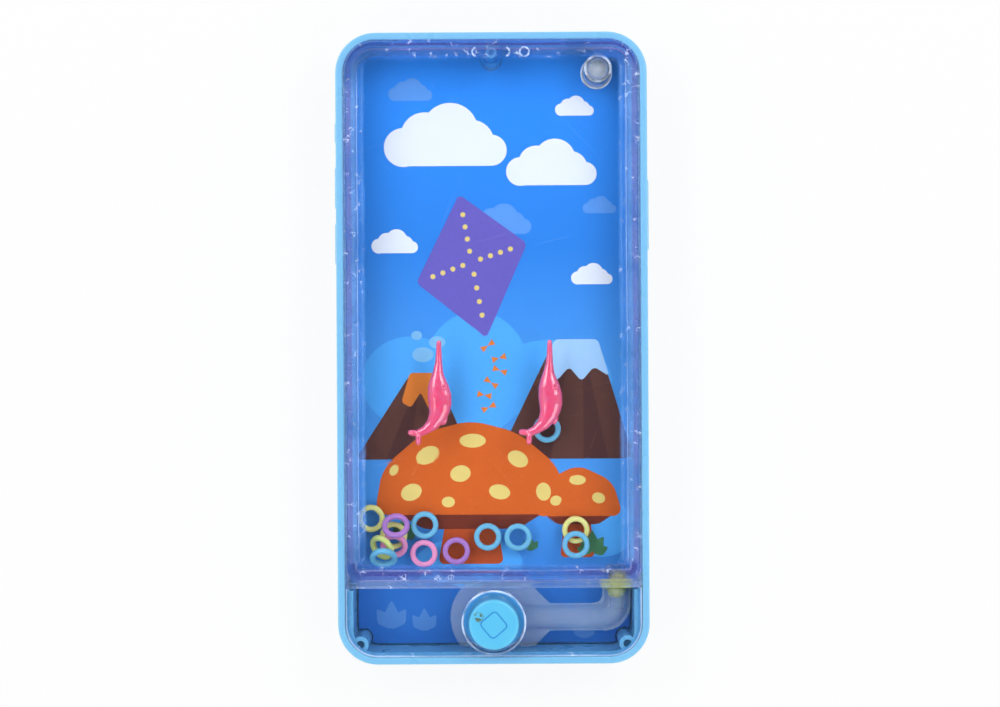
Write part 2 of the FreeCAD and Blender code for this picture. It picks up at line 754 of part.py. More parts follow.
def blow_bladder(body, inset, hollow):
    """The round forms of the bladder: its outside, or the hollow that is a wall smaller."""
    bevel = "sizes.bulb_bevel"
    bulb = f"(sizes.bulb_radius - {bevel})" if hollow else "sizes.bulb_radius"
    tall = f"(sizes.bulb_half_height - {inset})"
    sketch = new_sketch(body, "XY_Plane", f"({PUMP_Z} - {tall})")
    add_outline(sketch, many_sides(bulb, BULB_SIDES, BUTTON_Y))
    straight(body, sketch, f"({tall} * 2)", hollow, hollow)
    if not hollow:
        bevel_edges(body, bevel, lambda box: level(box, f"({PUMP_Z} - {tall})")
                    or level(box, f"({PUMP_Z} + {tall})"))
    duct = f"(sizes.duct_radius - {inset})"
    flat = f"({duct} * sizes.duct_flat_share)"
    elbow = size("elbow_radius")
    turn_x = f"({NECK_X} - {elbow})"
    turn_y = f"({BUTTON_Y} + {elbow})"

    def eight_sides(middle, height):
        return [
            (f"({middle} - {flat})", f"({height} - {duct})"),
            (f"({middle} + {flat})", f"({height} - {duct})"),
            (f"({middle} + {duct})", f"({height} - {flat})"),
            (f"({middle} + {duct})", f"({height} + {flat})"),
            (f"({middle} + {flat})", f"({height} + {duct})"),
            (f"({middle} - {flat})", f"({height} + {duct})"),
            (f"({middle} - {duct})", f"({height} + {flat})"),
            (f"({middle} - {duct})", f"({height} - {flat})"),
        ]

    # The duct runs from the bulb's middle to the elbow, and the leg from there to the seal
    sketch = new_sketch(body, "YZ_Plane", "0 mm")
    add_outline(sketch, eight_sides(BUTTON_Y, PUMP_Z))
    straight(body, sketch, turn_x, hollow, hollow)
    turn_elbow(body, eight_sides(elbow, PUMP_Z), turn_x, turn_y, hollow)
    sketch = new_sketch(body, "XZ_Plane", f"(-{turn_y})")
    add_outline(sketch, eight_sides(NECK_X, PUMP_Z))
    length = f"({SEAL_BOTTOM} - {turn_y})"
    if hollow:
        length = f"({length} - sizes.nozzle_reach / 2)"
    straight(body, sketch, length, hollow, not hollow)


def straight(body, sketch, length, hollow, back):
    if hollow:
        pocket(body, sketch, length, back)
    else:
        pad(body, sketch, length, back)


def turn_elbow(body, profile, x, y, hollow):
    """Turns an outline of (radius, height) points a quarter round an upright line at a
    place, and adds it to the body or takes it away."""
    sketch = new_sketch(body, "XZ_Plane", f"(-{y})")
    sketch.setExpression("AttachmentOffset.Base.x", x)
    add_outline(sketch, profile)
    kind = "PartDesign::Groove" if hollow else "PartDesign::Revolution"
    before = body.Shape.Volume
    feature = body.newObject(kind, f"{body.Name}_elbow")
    feature.Profile = sketch
    feature.ReferenceAxis = (sketch, ["V_Axis"])
    feature.Angle = 90.0
    feature.Reversed = True
    body.Tip = feature
    document.recompute()
    if hollow and body.Shape.Volume >= before:
        raise RuntimeError(f"a groove of {body.Label} cuts nothing")
    return feature


# Nozzle: a tube from the bladder's neck through the tank's wall, with a fine jet


def make_inlet_nozzle():
    body = new_body("inlet_nozzle")
    tip = f"({WATER_BOTTOM} + sizes.nozzle_flange_thickness)"
    low = f"({SEAL_BOTTOM} - sizes.nozzle_reach)"
    jet = f"({tip} - sizes.nozzle_jet_length)"
    revolve(body, [
        (size("nozzle_jet_radius"), tip),
        (size("nozzle_flange_radius"), tip),
        (size("nozzle_flange_radius"), WATER_BOTTOM),
        (size("nozzle_radius"), WATER_BOTTOM),
        (size("nozzle_radius"), low),
        (size("nozzle_bore_radius"), low),
        (size("nozzle_bore_radius"), jet),
        (size("nozzle_jet_radius"), jet),
    ])
    place_body(body, NECK_X, "0", PUMP_Z, ALONG_Y)
    return body


# Seal: a soft block that the nozzle passes through, between the wall and the neck


def make_inlet_seal():
    body = new_body("inlet_seal")
    sketch = new_sketch(body, "XZ_Plane", f"(-{TANK_BOTTOM})")
    half = size("seal_width / 2")
    tall = size("seal_height / 2")
    corner = size("seal_edge_radius")
    add_outline(sketch, box_outline(f"({NECK_X} - {half})", f"({NECK_X} + {half})",
                                    f"({PUMP_Z} - {tall})", f"({PUMP_Z} + {tall})", corner, corner))
    add_circle(sketch, size("nozzle_radius + nozzle_fit"), NECK_X, PUMP_Z)
    pad(body, sketch, size("seal_thickness"))
    return body


# Pegs: two fish with long snouts, on which the rings are caught. Each entry of the
# shares is (across, along, half width, half thickness), of the peg's width, length and
# thickness. Across is from the snout's line, along is from its tip down. A taper entry is
# (place along the fluke or fin, its radius), of its length and of the tail's half width.

PEG_SIDES = 8
PEG_SHARES = (
    (0.00, 0.00, 0.060, 0.14),
    (0.00, 0.03, 0.105, 0.20),
    (-0.01, 0.21, 0.165, 0.27),
    (-0.04, 0.31, 0.250, 0.35),
    (-0.03, 0.43, 0.440, 0.46),
    (0.02, 0.52, 0.500, 0.50),
    (0.04, 0.60, 0.485, 0.50),
    (-0.05, 0.70, 0.400, 0.45),
    (-0.30, 0.79, 0.270, 0.37),
    (-0.63, 0.845, 0.185, 0.30),
    (-0.90, 0.872, 0.165, 0.27),
)
FORK_SHARE = (-0.84, 0.868)
FLUKE_SHARES = ((-1.30, 0.868), (-0.86, 0.985))
FLUKE_TAPER_SHARES = ((0, 1), (0.8, 0.75), (1, 0.4))
FIN_ROOT_SHARE = (0.108, 0.70)
FIN_SHARE = (0.27, 0.77)
FIN_TAPER_SHARES = ((0, 1.3), (1, 0.5))
STEM_SHARE = (-0.16, 0.60)


def peg_origin(count):
    """The place of a snout's tip, for the left peg and then the right one."""
    left = size("0 - peg_left_place")
    tip_y = f"({WATER_BOTTOM} + sizes.peg_tip_height)"
    x = f"({left} + {count} * sizes.peg_spacing)"
    return x, tip_y


def peg_stem_places():
    places = []
    for count in range(2):
        x, y = peg_origin(count)
        places.append((f"({x} + {STEM_SHARE[0]} * sizes.peg_width)",
                       f"({y} - {STEM_SHARE[1]} * sizes.peg_length)"))
    return places


def oval(centre, along, half_wide, half_thick):
    """The corners of an oval of straight sides that stands square to a line."""
    side = along.cross(FreeCAD.Vector(0, 0, 1))
    corners = []
    for step in range(PEG_SIDES):
        turn = 2 * math.pi * (step + 0.5) / PEG_SIDES
        out = side * (half_wide * math.cos(turn))
        corners.append(centre + out + FreeCAD.Vector(0, 0, half_thick * math.sin(turn)))
    return corners


def skin(ovals):
    """A solid whose flat facets run from each oval to the next, closed at both ends."""
    faces = [Part.Face(Part.makePolygon(end + end[:1])) for end in (ovals[0], ovals[-1])]
    for here, after in zip(ovals, ovals[1:]):
        for step in range(PEG_SIDES):
            a, b = here[step - 1], here[step]
            c, d = after[step - 1], after[step]
            faces.append(Part.Face(Part.makePolygon([a, b, d, a])))
            faces.append(Part.Face(Part.makePolygon([a, d, c, a])))
    solid = Part.Solid(Part.makeShell(faces))
    if solid.Volume < 0:
        solid.reverse()
    return solid


def limb(root, end, radius, taper_shares):
    """A fluke or fin that narrows from its root to its end."""
    along = (end - root).normalize()
    ovals = []
    for length_share, radius_share in taper_shares:
        spot = root + (end - root) * length_share
        ovals.append(oval(spot, along, radius * radius_share, radius * radius_share))
    return skin(ovals)


def make_peg(label, count):
    """A body of facets through ovals that stand square to the fish's curved back, with two
    flukes, a fin, and a stem with a pin that sits in its socket."""
    origin_x, origin_y = [number(e) for e in peg_origin(count)]
    width, length, thickness = (number(size(n)) for n in ("peg_width", "peg_length", "peg_thickness"))
    middle = number(PEG_BASE) + thickness / 2

    def spot(across_share, along_share):
        return FreeCAD.Vector(origin_x + across_share * width, origin_y - along_share * length, middle)

    spine = [spot(row[0], row[1]) for row in PEG_SHARES]
    ovals = []
    for index, row in enumerate(PEG_SHARES):
        before = spine[max(index - 1, 0)]
        after = spine[min(index + 1, len(spine) - 1)]
        along = (after - before).normalize()
        ovals.append(oval(spine[index], along, row[2] * width, row[3] * thickness))
    shape = skin(ovals)

    root = spot(*FORK_SHARE)
    tail_radius = PEG_SHARES[-1][2] * width
    for share in FLUKE_SHARES:
        shape = shape.fuse(limb(root, spot(*share), tail_radius, FLUKE_TAPER_SHARES))
    fin = limb(spot(*FIN_ROOT_SHARE), spot(*FIN_SHARE), tail_radius, FIN_TAPER_SHARES)
    shape = shape.fuse(fin)

    down = FreeCAD.Vector(0, 0, -1)
    stem_x, stem_y = [number(e) for e in peg_stem_places()[count]]
    socket_top = number(TANK_FLOOR) + number(size("socket_height"))
    stem = Part.makeCylinder(number(size("peg_stem_radius")), middle - socket_top,
                             FreeCAD.Vector(stem_x, stem_y, middle), down)
    pin_length = number(size("socket_bore_depth * peg_pin_length_share"))
    pin = Part.makeCylinder(number(size("peg_pin_radius")), pin_length,
                            FreeCAD.Vector(stem_x, stem_y, socket_top), down)
    shape = shape.fuse(stem).fuse(pin)

    peg = document.addObject("Part::Feature", label)
    peg.Label = label
    peg.Shape = shape.removeSplitter()
    return peg


# Rings. Each one's place is counted in rings: columns from the tank's left wall, rows
# from its bottom wall and levels from its floor. Leaning rings give their angle and the
# side that is up, in degrees. Seven rings fit in the width with some of it to spare, and
# the last entry is the share of that spare width by which a ring has drifted to the right.

RING_SIDES = 18
RING_PITCH = size("ring_outer_diameter")
RINGS_ABREAST = 7
SPARE_WIDTH = f"({WATER_WIDTH} * 2 - {RINGS_ABREAST} * {RING_PITCH})"
RING_SHARES = {
    "ring_01": (0.530, 1.830, 0.104, 0, 0, 0),
    "ring_02": (1.460, 1.613, 0.647, 37.5, 270, 0),
    "ring_03": (1.345, 1.205, 0.104, 0, 0, 0),
    "ring_04": (1.369, 0.857, 0.312, 26, 90, 0),
    "ring_05": (0.957, 0.820, 0.597, 44.5, 39, 0),
    "ring_06": (1.030, 0.482, 0.900, 46, 90, 0),
    "ring_07": (2.480, 1.580, 0.104, 0, 0, 0),
    "ring_08": (2.445, 0.540, 0.104, 0, 0, 0),
    "ring_09": (3.630, 0.630, 0.104, 0, 0, 0),
    "ring_10": (4.775, 1.135, 0.104, 0, 0, 0),
    "ring_11": (5.880, 1.120, 0.104, 0, 0, 0),
    "ring_12": (6.700, 1.375, 0.104, 0, 0, 0.4322),
    "ring_13": (6.700, 0.860, 0.330, 0, 0, 0.4288),
}
# The last ring has come to rest beside the right peg's stem, this many rings from it
BY_PEG_SHARES = (0.0493, -0.9310, 0.104)


def make_ring_form():
    """One ring as moulded: a ring of straight sides with its edges bevelled to the round."""
    solids = []
    half = size("ring_section / 2")
    for name, radius in (("ring_outside", size("ring_outer_diameter / 2")),
                         ("ring_inside", size("ring_outer_diameter / 2 - ring_section"))):
        outline = document.addObject("Part::RegularPolygon", f"{name}_outline")
        outline.Polygon = RING_SIDES
        outline.setExpression("Circumradius", radius)
        outline.setExpression("Placement.Base.z", f"-{half} * 1 mm")
        solid = document.addObject("Part::Extrusion", name)
        solid.Base = outline
        solid.Dir = FreeCAD.Vector(0, 0, 1)
        solid.setExpression("LengthFwd", size("ring_section"))
        solid.Solid = True
        solids.append(solid)
    tube = document.addObject("Part::Cut", "ring_tube")
    tube.Base = solids[0]
    tube.Tool = solids[1]
    document.recompute()
    form = new_body("ring_form")
    form.BaseFeature = tube
    document.recompute()
    bevel_edges(form, size("ring_section * ring_bevel_share"),
                lambda box: level(box, half) or level(box, f"(-{half})"))
    return form


def make_ring(label, form, x, y, layer, lean=0, raised=0):
    """A ring of that form, laid or leaning at a place."""
    body = new_body(label)
    body.BaseFeature = form
    hinge = FreeCAD.Vector(math.sin(math.radians(raised)), -math.cos(math.radians(raised)), 0)
    z = f"({TANK_FLOOR} + {layer} * {RING_PITCH} + sizes.ring_rest_gap)"
    place_body(body, x, y, z, FreeCAD.Rotation(hinge, lean))
    return body


def make_rings():
    form = make_ring_form()
    rings = []
    for label, (column, row, layer, lean, raised, drift) in RING_SHARES.items():
        x = f"({column} * {RING_PITCH} + {drift} * {SPARE_WIDTH} - {WATER_WIDTH})"
        y = f"({WATER_BOTTOM} + {row} * {RING_PITCH})"
        rings.append(make_ring(label, form, x, y, layer, lean, raised))
    stem_x, stem_y = peg_stem_places()[1]
    across_share, along_share, layer = BY_PEG_SHARES
    x = f"({stem_x} + {across_share} * {RING_PITCH})"
    y = f"({stem_y} + {along_share} * {RING_PITCH})"
    rings.append(make_ring("ring_14", form, x, y, layer))
    return rings


pieces = [
    make_rear_shell(),
    make_front_cover(),
    make_tank_back_plate(),
    make_backing_card(),
    make_fill_plug(),
    make_pump_button(),
    make_pump_bladder(),
    make_inlet_nozzle(),
    make_inlet_seal(),
    make_peg("left_peg", 0),
    make_peg("right_peg", 1),
    *make_rings(),
]

document.recompute()
for item in document.Objects:
    if "Invalid" in item.State or "Error" in item.State:
        raise RuntimeError(f"{item.Label} did not build: {item.State}")

os.makedirs("parts", exist_ok=True)
for piece in pieces:
    if piece.Shape.isNull() or not piece.Shape.isValid():
        raise RuntimeError(f"{piece.Label} has no valid shape")
    piece.Shape.exportStep(f"parts/{piece.Label}.step")
    box = piece.Shape.BoundBox
    print(piece.Label, "solids", len(piece.Shape.Solids), "volume", round(piece.Shape.Volume, 2),
          "z", round(box.ZMin, 2), round(box.ZMax, 2))
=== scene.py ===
# %% [markdown]
# # A handheld water game, dressed in Blender
# The toy is shaped like a phone. A clear cover carries a tank with loose rings and two
# fish-shaped pegs, a pump button blows water in, and a blue tray holds it all. The solids
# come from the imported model, which gives every piece its place. This lesson remodels the
# pieces that show, gives each one its own finish, and lights them as on a photo table.

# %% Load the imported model
import json
import math
import random

import bmesh
import bpy
import numpy as np
from mathutils import Matrix, Vector

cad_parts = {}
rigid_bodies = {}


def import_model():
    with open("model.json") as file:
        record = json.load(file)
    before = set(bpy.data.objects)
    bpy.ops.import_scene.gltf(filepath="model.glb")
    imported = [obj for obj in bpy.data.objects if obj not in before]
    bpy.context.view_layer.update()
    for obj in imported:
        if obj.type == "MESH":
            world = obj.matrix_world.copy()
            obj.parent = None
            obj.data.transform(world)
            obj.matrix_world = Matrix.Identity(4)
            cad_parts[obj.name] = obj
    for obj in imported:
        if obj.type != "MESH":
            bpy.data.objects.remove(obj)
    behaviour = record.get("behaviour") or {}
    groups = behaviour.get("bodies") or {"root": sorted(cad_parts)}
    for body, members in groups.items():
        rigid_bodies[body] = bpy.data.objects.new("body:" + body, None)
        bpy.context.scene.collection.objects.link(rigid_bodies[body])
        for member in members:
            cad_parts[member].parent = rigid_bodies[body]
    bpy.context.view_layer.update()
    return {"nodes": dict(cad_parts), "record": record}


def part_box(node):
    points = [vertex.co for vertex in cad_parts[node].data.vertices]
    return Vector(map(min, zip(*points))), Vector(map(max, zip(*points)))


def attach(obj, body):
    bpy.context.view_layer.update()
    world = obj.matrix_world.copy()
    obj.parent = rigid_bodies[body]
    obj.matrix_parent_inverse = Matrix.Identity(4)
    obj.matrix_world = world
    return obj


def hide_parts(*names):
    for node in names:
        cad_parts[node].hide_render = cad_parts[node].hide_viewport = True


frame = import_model()
MM = 0.001

# %% [markdown]
# ## The main sizes
# Heights are counted from the back of the tray, and places from the toy's middle. These
# few sizes come back in the finishes and in the pieces, so they are set first.

# %% Main sizes, in millimetres
HALF_WIDTH, HALF_LENGTH = 37.0, 75.0
RIM_HEIGHT = 15.0
CORNER = 9.5
WALL = 1.7
FLOOR = 1.8
POST = (31.7, -70.3)
TOP_POST = (0.0, 70.1)
SPOUT = (25.5, 66.6)
BUTTON = (0.0, -64.8)
BUTTON_TOP = 20.6
SEAL_SPOT = (29.5, -55.3, 14.7)
print("the tray is", 2 * HALF_WIDTH, "by", 2 * HALF_LENGTH, "by", RIM_HEIGHT, "mm")

# %% [markdown]
# ## The camera
# The photograph looks straight down on the toy from a bit over forty centimetres. At the
# height of the rim, 237 mm fill the picture's width, so the lens follows from the
# distance. The toy lies a third of a degree askew, which the camera takes up.

# %% Camera
CAMERA_DISTANCE = 410.0
VIEW_WIDTH = 237.0
SENSOR = 36.0
camera = bpy.data.objects.new("photo_camera", bpy.data.cameras.new("photo_camera"))
bpy.context.scene.collection.objects.link(camera)
camera.data.sensor_width = SENSOR
camera.data.lens = SENSOR * CAMERA_DISTANCE / VIEW_WIDTH
camera.location = Vector((1.78, -1.30, RIM_HEIGHT + CAMERA_DISTANCE)) * MM
camera.rotation_euler = (0, 0, math.radians(-0.31))
bpy.context.scene.camera = camera
print("lens", round(camera.data.lens, 1), "mm at", [round(v, 3) for v in camera.location])

# %% [markdown]
# ## Small tools for modelling
# Blender's operators act on whatever is selected, so each tool first clears the
# selection. Lengths are given in millimetres, as on the maker's drawing, and turned into
# metres in one place. A piece is drawn where it belongs, so its object stays at the origin.

# %% Selecting
ALL = {"action": "SELECT"}
NONE = {"action": "DESELECT"}
NEAR = 0.004


def clear_selection():
    active = bpy.context.view_layer.objects.active
    if active and active.mode != "OBJECT":
        bpy.ops.object.mode_set(mode="OBJECT")
    bpy.ops.object.select_all(**NONE)


def choose(piece, mode="OBJECT"):
    """Makes a piece the only selected one, in object or edit mode."""
    clear_selection()
    piece.select_set(True)
    bpy.context.view_layer.objects.active = piece
    if mode == "EDIT":
        bpy.ops.object.mode_set(mode="EDIT")


def pick(piece, kind, test):
    """In edit mode, selects each vertex, edge or face whose corners, in mm, pass a test."""
    bpy.ops.mesh.select_mode(type=kind)
    bpy.ops.mesh.select_all(**NONE)
    mesh = bmesh.from_edit_mesh(piece.data)
    parts = {"VERT": mesh.verts, "EDGE": mesh.edges, "FACE": mesh.faces}[kind]
    found = 0
    for part in parts:
        corners = [part] if kind == "VERT" else part.verts
        if test([corner.co / MM for corner in corners]):
            part.select_set(True)
            found += 1
    mesh.select_flush_mode()
    bmesh.update_edit_mesh(piece.data)
    return found


def at_height(height):
    return lambda spots: all(abs(spot.z - height) < NEAR for spot in spots)


def round_off(piece, kind, test, radius, steps):
    """Picks corners or edges and rounds them by a radius in mm."""
    choose(piece, "EDIT")
    pick(piece, kind, test)
    affect = "VERTICES" if kind == "VERT" else "EDGES"
    bpy.ops.mesh.bevel(offset=radius * MM, segments=steps, affect=affect)


def stretch(across, along, up):
    """Scales what is selected about the origin, so that a unit form gets its size in mm."""
    size = (across * MM, along * MM, up * MM)
    bpy.ops.transform.resize(value=size, center_override=(0, 0, 0))


def move(x, y, z):
    """Moves what is selected by a distance in mm."""
    bpy.ops.transform.translate(value=(x * MM, y * MM, z * MM))


def swing(piece, angle, axis, place):
    """Turns a whole piece about the origin, then moves it to a place in mm."""
    choose(piece, "EDIT")
    bpy.ops.mesh.select_all(**ALL)
    bpy.ops.transform.rotate(value=angle, orient_axis=axis, center_override=(0, 0, 0))
    move(*place)


# %% Starting shapes
CORNER_STEPS = 14


def named(name):
    piece = bpy.context.object
    piece.name = name
    piece.data.name = name
    return piece


def opened(name):
    """Names the form that was just added and selects all of it for editing."""
    piece = named(name)
    choose(piece, "EDIT")
    bpy.ops.mesh.select_all(**ALL)
    return piece


def settle(piece):
    """Merges doubled vertices and turns every face outwards."""
    choose(piece, "EDIT")
    bpy.ops.mesh.select_all(**ALL)
    bpy.ops.mesh.remove_doubles(threshold=0.000002)
    bpy.ops.mesh.normals_make_consistent(inside=False)
    bpy.ops.object.mode_set(mode="OBJECT")
    return piece


def pull(x=0.0, y=0.0, z=0.0):
    """Extrudes what is selected by a distance in mm."""
    step = {"value": (x * MM, y * MM, z * MM)}
    bpy.ops.mesh.extrude_region_move(TRANSFORM_OT_translate=step)


def slab(name, across, along, up, low_corner=0.0, high_corner=0.0):
    """A plate: a plane pulled to size, its corners bevelled, then given its height."""
    clear_selection()
    bpy.ops.mesh.primitive_plane_add(size=1)
    piece = opened(name)
    stretch(across[1] - across[0], along[1] - along[0], 1)
    move((across[0] + across[1]) / 2, (along[0] + along[1]) / 2, up[0])
    for radius, edge in ((low_corner, along[0]), (high_corner, along[1])):
        if radius:
            pick(piece, "VERT", lambda spots: abs(spots[0].y - edge) < NEAR)
            bpy.ops.mesh.bevel(offset=radius * MM, segments=CORNER_STEPS, affect="VERTICES")
    bpy.ops.mesh.select_all(**ALL)
    pull(z=up[1] - up[0])
    return settle(piece)


def rod(name, radius, place, up, sides=48):
    """An upright round bar between two heights."""
    clear_selection()
    middle = (place[0] * MM, place[1] * MM, (up[0] + up[1]) / 2 * MM)
    depth = (up[1] - up[0]) * MM
    bpy.ops.mesh.primitive_cylinder_add(vertices=sides, radius=radius * MM, depth=depth, location=middle)
    bpy.ops.object.transform_apply(location=True, rotation=True, scale=True)
    return named(name)


def tube(name, outer, inner, place, up, sides=72):
    """A round bar with a hole right through it."""
    beyond = (up[0] - 1, up[1] + 1)
    return cut(rod(name, outer, place, up, sides), rod(f"{name}_hole", inner, place, beyond, sides))


def lathe(name, profile, place, sides=72):
    """A turned piece: one vertex pulled along a profile of (radius, height) in mm, and
    the line of edges then spun about an upright axis."""
    clear_selection()
    bpy.ops.mesh.primitive_plane_add(size=1)
    piece = opened(name)
    bpy.ops.mesh.merge(type="CENTER")
    move(place[0] + profile[0][0], place[1], profile[0][1])
    for here, after in zip(profile, profile[1:]):
        step = ((after[0] - here[0]) * MM, 0, (after[1] - here[1]) * MM)
        bpy.ops.mesh.extrude_vertices_move(TRANSFORM_OT_translate={"value": step})
    bpy.ops.mesh.select_all(**ALL)
    centre = (place[0] * MM, place[1] * MM, 0)
    bpy.ops.mesh.spin(steps=sides, angle=2 * math.pi, center=centre, axis=(0, 0, 1))
    return settle(piece)


# %% Joining and cutting
def modify(piece, kind, **settings):
    """Gives a piece a modifier, sets it and applies it."""
    choose(piece)
    bpy.ops.object.modifier_add(type=kind)
    modifier = piece.modifiers[-1]
    for name, value in settings.items():
        setattr(modifier, name, value)
    bpy.ops.object.modifier_apply(modifier=modifier.name)
    return piece


def combine(piece, tool, how):
    """Adds a tool to a piece (UNION) or cuts it away (DIFFERENCE)."""
    modify(piece, "BOOLEAN", operation=how, solver="EXACT", object=tool)
    bpy.data.objects.remove(tool)
    return piece


def add(piece, tool):
    return combine(piece, tool, "UNION")


def cut(piece, tool):
    return combine(piece, tool, "DIFFERENCE")


def soften(piece, width, steps=2, angle=40):
    """Rounds every sharp edge a little, as a mould does."""
    return modify(piece, "BEVEL", width=width * MM, segments=steps, limit_method="ANGLE",
                  angle_limit=math.radians(angle), harden_normals=False)


def dress(piece, material, body, replaced=(), angle=32):
    """Gives a finished piece its material, its body and its smooth shading."""
    choose(piece)
    piece.data.materials.clear()
    piece.data.materials.append(material)
    bpy.ops.object.shade_smooth_by_angle(angle=math.radians(angle))
    modify(piece, "WEIGHTED_NORMAL", keep_sharp=True, weight=90)
    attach(piece, body)
    if replaced:
        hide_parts(*replaced)
    print(piece.name, "has", len(piece.data.polygons), "faces")
    return piece


# %% [markdown]
# ## Shader tools
# A few effects come back in many finishes, so each is a node group with named sockets:
# fine scratches from handling, the grain that a mould leaves in plastic, and specks of
# dust. They put out masks and heights only. The shader itself stays in each material.

# %% Colour and node helpers
def tint(red, green, blue):
    """A colour given as on a screen, from 0 to 255, as the linear colour shaders use."""
    levels = [level / 255 for level in (red, green, blue)]
    return tuple(v / 12.92 if v <= 0.04045 else ((v + 0.055) / 1.055) ** 2.4 for v in levels) + (1.0,)


class Tree:
    """A short way to add nodes and link them."""

    def __init__(self, tree):
        self.tree = tree

    def node(self, kind, links=(), **values):
        made = self.tree.nodes.new(f"ShaderNode{kind}")
        for name, value in values.items():
            setattr(made, name, value)
        self.fill(made, dict(links))
        return made

    def fill(self, made, sockets):
        """Links each named socket of a node to a source, or sets it to a value."""
        for socket, source in sockets.items():
            if isinstance(source, bpy.types.NodeSocket):
                self.tree.links.new(source, made.inputs[socket])
            else:
                made.inputs[socket].default_value = source

    def math(self, kind, first, second):
        """A Math node of two inputs."""
        return self.node("Math", {0: first, 1: second}, operation=kind).outputs[0]

    def plus(self, first, second):
        return self.math("ADD", first, second)

    def minus(self, first, second):
        return self.math("SUBTRACT", first, second)

    def times(self, first, second):
        return self.math("MULTIPLY", first, second)

    def mix(self, first, second, factor, **values):
        """A colour that turns from the first into the second as the factor grows."""
        mixed = self.node("Mix", data_type="RGBA", **values)
        self.fill(mixed, {"A": first, "B": second, "Factor": factor})
        return mixed.outputs["Result"]

    def remap(self, value, low, high, to_low=0.0, to_high=1.0):
        """A value between low and high, clamped and spread over another range."""
        return self.node("MapRange", {"Value": value, "From Min": low, "From Max": high,
                                      "To Min": to_low, "To Max": to_high}).outputs[0]

    def noise(self, place, scale, detail=2.0, distortion=0.0):
        return self.node("TexNoise", {"Vector": place, "Scale": scale, "Detail": detail,
                                      "Distortion": distortion}).outputs[0]

    def distance(self, place, spot):
        """How far each shaded point lies from a spot, in metres."""
        return self.node("VectorMath", {0: place, 1: spot}, operation="DISTANCE").outputs["Value"]

    def along(self, place, axis):
        """One coordinate of each shaded point."""
        return self.node("SeparateXYZ", {0: place}).outputs[axis]

    def bump(self, height, strength, distance=0.0002):
        return self.node("Bump", {"Height": height, "Strength": strength, "Distance": distance}).outputs[0]


def new_group(name, inputs, outputs):
    """A node group with float sockets, except a vector called Place."""
    group = bpy.data.node_groups.new(name, "ShaderNodeTree")
    for label, value in inputs.items():
        kind = "NodeSocketVector" if label == "Place" else "NodeSocketFloat"
        socket = group.interface.new_socket(name=label, in_out="INPUT", socket_type=kind)
        if kind == "NodeSocketFloat":
            socket.default_value = value
    for label in outputs:
        group.interface.new_socket(name=label, in_out="OUTPUT", socket_type="NodeSocketFloat")
    tree = Tree(group)
    return tree, group.nodes.new("NodeGroupInput"), group.nodes.new("NodeGroupOutput")


# %% Group: scratches
def make_scratches():
    """Thin lines in a few directions, broken up by a patchy noise."""
    tree, source, result = new_group("scratches", {"Place": None, "Scale": 1.0, "Amount": 0.5}, ("Mask",))
    lines = None
    for turn in (0.4, 1.3, 2.4):
        spun = tree.node("Mapping", {"Vector": source.outputs["Place"], "Rotation": (0.1, 0.2, turn)})
        thin = tree.node("Mapping", {"Vector": spun.outputs[0], "Scale": (1400.0, 22.0, 22.0)})
        line = tree.remap(tree.noise(thin.outputs[0], source.outputs["Scale"], 1.0), 0.70, 0.78)
        lines = line if lines is None else tree.math("MAXIMUM", lines, line)
    where = tree.remap(tree.noise(source.outputs["Place"], 60.0), 0.42, 0.7)
    shown = tree.times(tree.times(lines, where), source.outputs["Amount"])
    tree.tree.links.new(shown, result.inputs["Mask"])
    return tree.tree


# %% Group: mould grain
def make_grain():
    """A soft waviness with a fine grain on top."""
    tree, source, result = new_group("mould_grain", {"Place": None, "Wave": 90.0, "Grain": 2600.0},
                                     ("Height", "Mottle"))
    wave = tree.noise(source.outputs["Place"], source.outputs["Wave"])
    fine = tree.noise(source.outputs["Place"], source.outputs["Grain"], 1.0)
    height = tree.plus(tree.times(wave, 0.7), tree.times(fine, 0.3))
    tree.tree.links.new(height, result.inputs["Height"])
    tree.tree.links.new(wave, result.inputs["Mottle"])
    return tree.tree


# %% Group: specks
def make_specks():
    """Small round specks, thinned out by a second noise."""
    tree, source, result = new_group("specks", {"Place": None, "Scale": 900.0, "Amount": 0.5}, ("Mask",))
    cells = tree.node("TexVoronoi", {"Vector": source.outputs["Place"], "Scale": source.outputs["Scale"]})
    dot = tree.remap(cells.outputs["Distance"], 0.10, 0.04)
    where = tree.remap(tree.noise(source.outputs["Place"], 210.0, 3.0), 0.58, 0.66)
    shown = tree.times(tree.times(dot, where), source.outputs["Amount"])
    tree.tree.links.new(shown, result.inputs["Mask"])
    return tree.tree


SCRATCHES = make_scratches()
GRAIN = make_grain()
SPECKS = make_specks()
print("shader groups:", [group.name for group in bpy.data.node_groups])


# %% [markdown]
# ## Opaque plastics
# The shell, the button, the rings and the pegs are all moulded plastic. They differ in
# colour, gloss and how much light sinks in, so one function makes them all. The colour
# drifts a little with the mottle of the mould, scratches roughen the gloss, and a faint
# bump breaks up the highlights. Further shades are blended in by place: painted shade inside
# the shell and a painted highlight at its edges, and on the button a few grains of dirt,
# with painted shade on its side and in the groove of its mark.

# %% Plastic
def open_material(material):
    """The material's tree and shader, and the place of the shaded point."""
    tree = Tree(material.node_tree)
    return tree, material.node_tree.nodes["Principled BSDF"], tree.node("TexCoord").outputs["Object"]


def start_material(name):
    material = bpy.data.materials.new(name)
    material.use_nodes = True
    return material, *open_material(material)


def grouped(tree, group, place, **values):
    made = tree.node("Group", node_tree=group)
    tree.tree.links.new(place, made.inputs["Place"])
    for name, value in values.items():
        made.inputs[name].default_value = value
    return made


def link(tree, source, target):
    tree.tree.links.new(source, target)


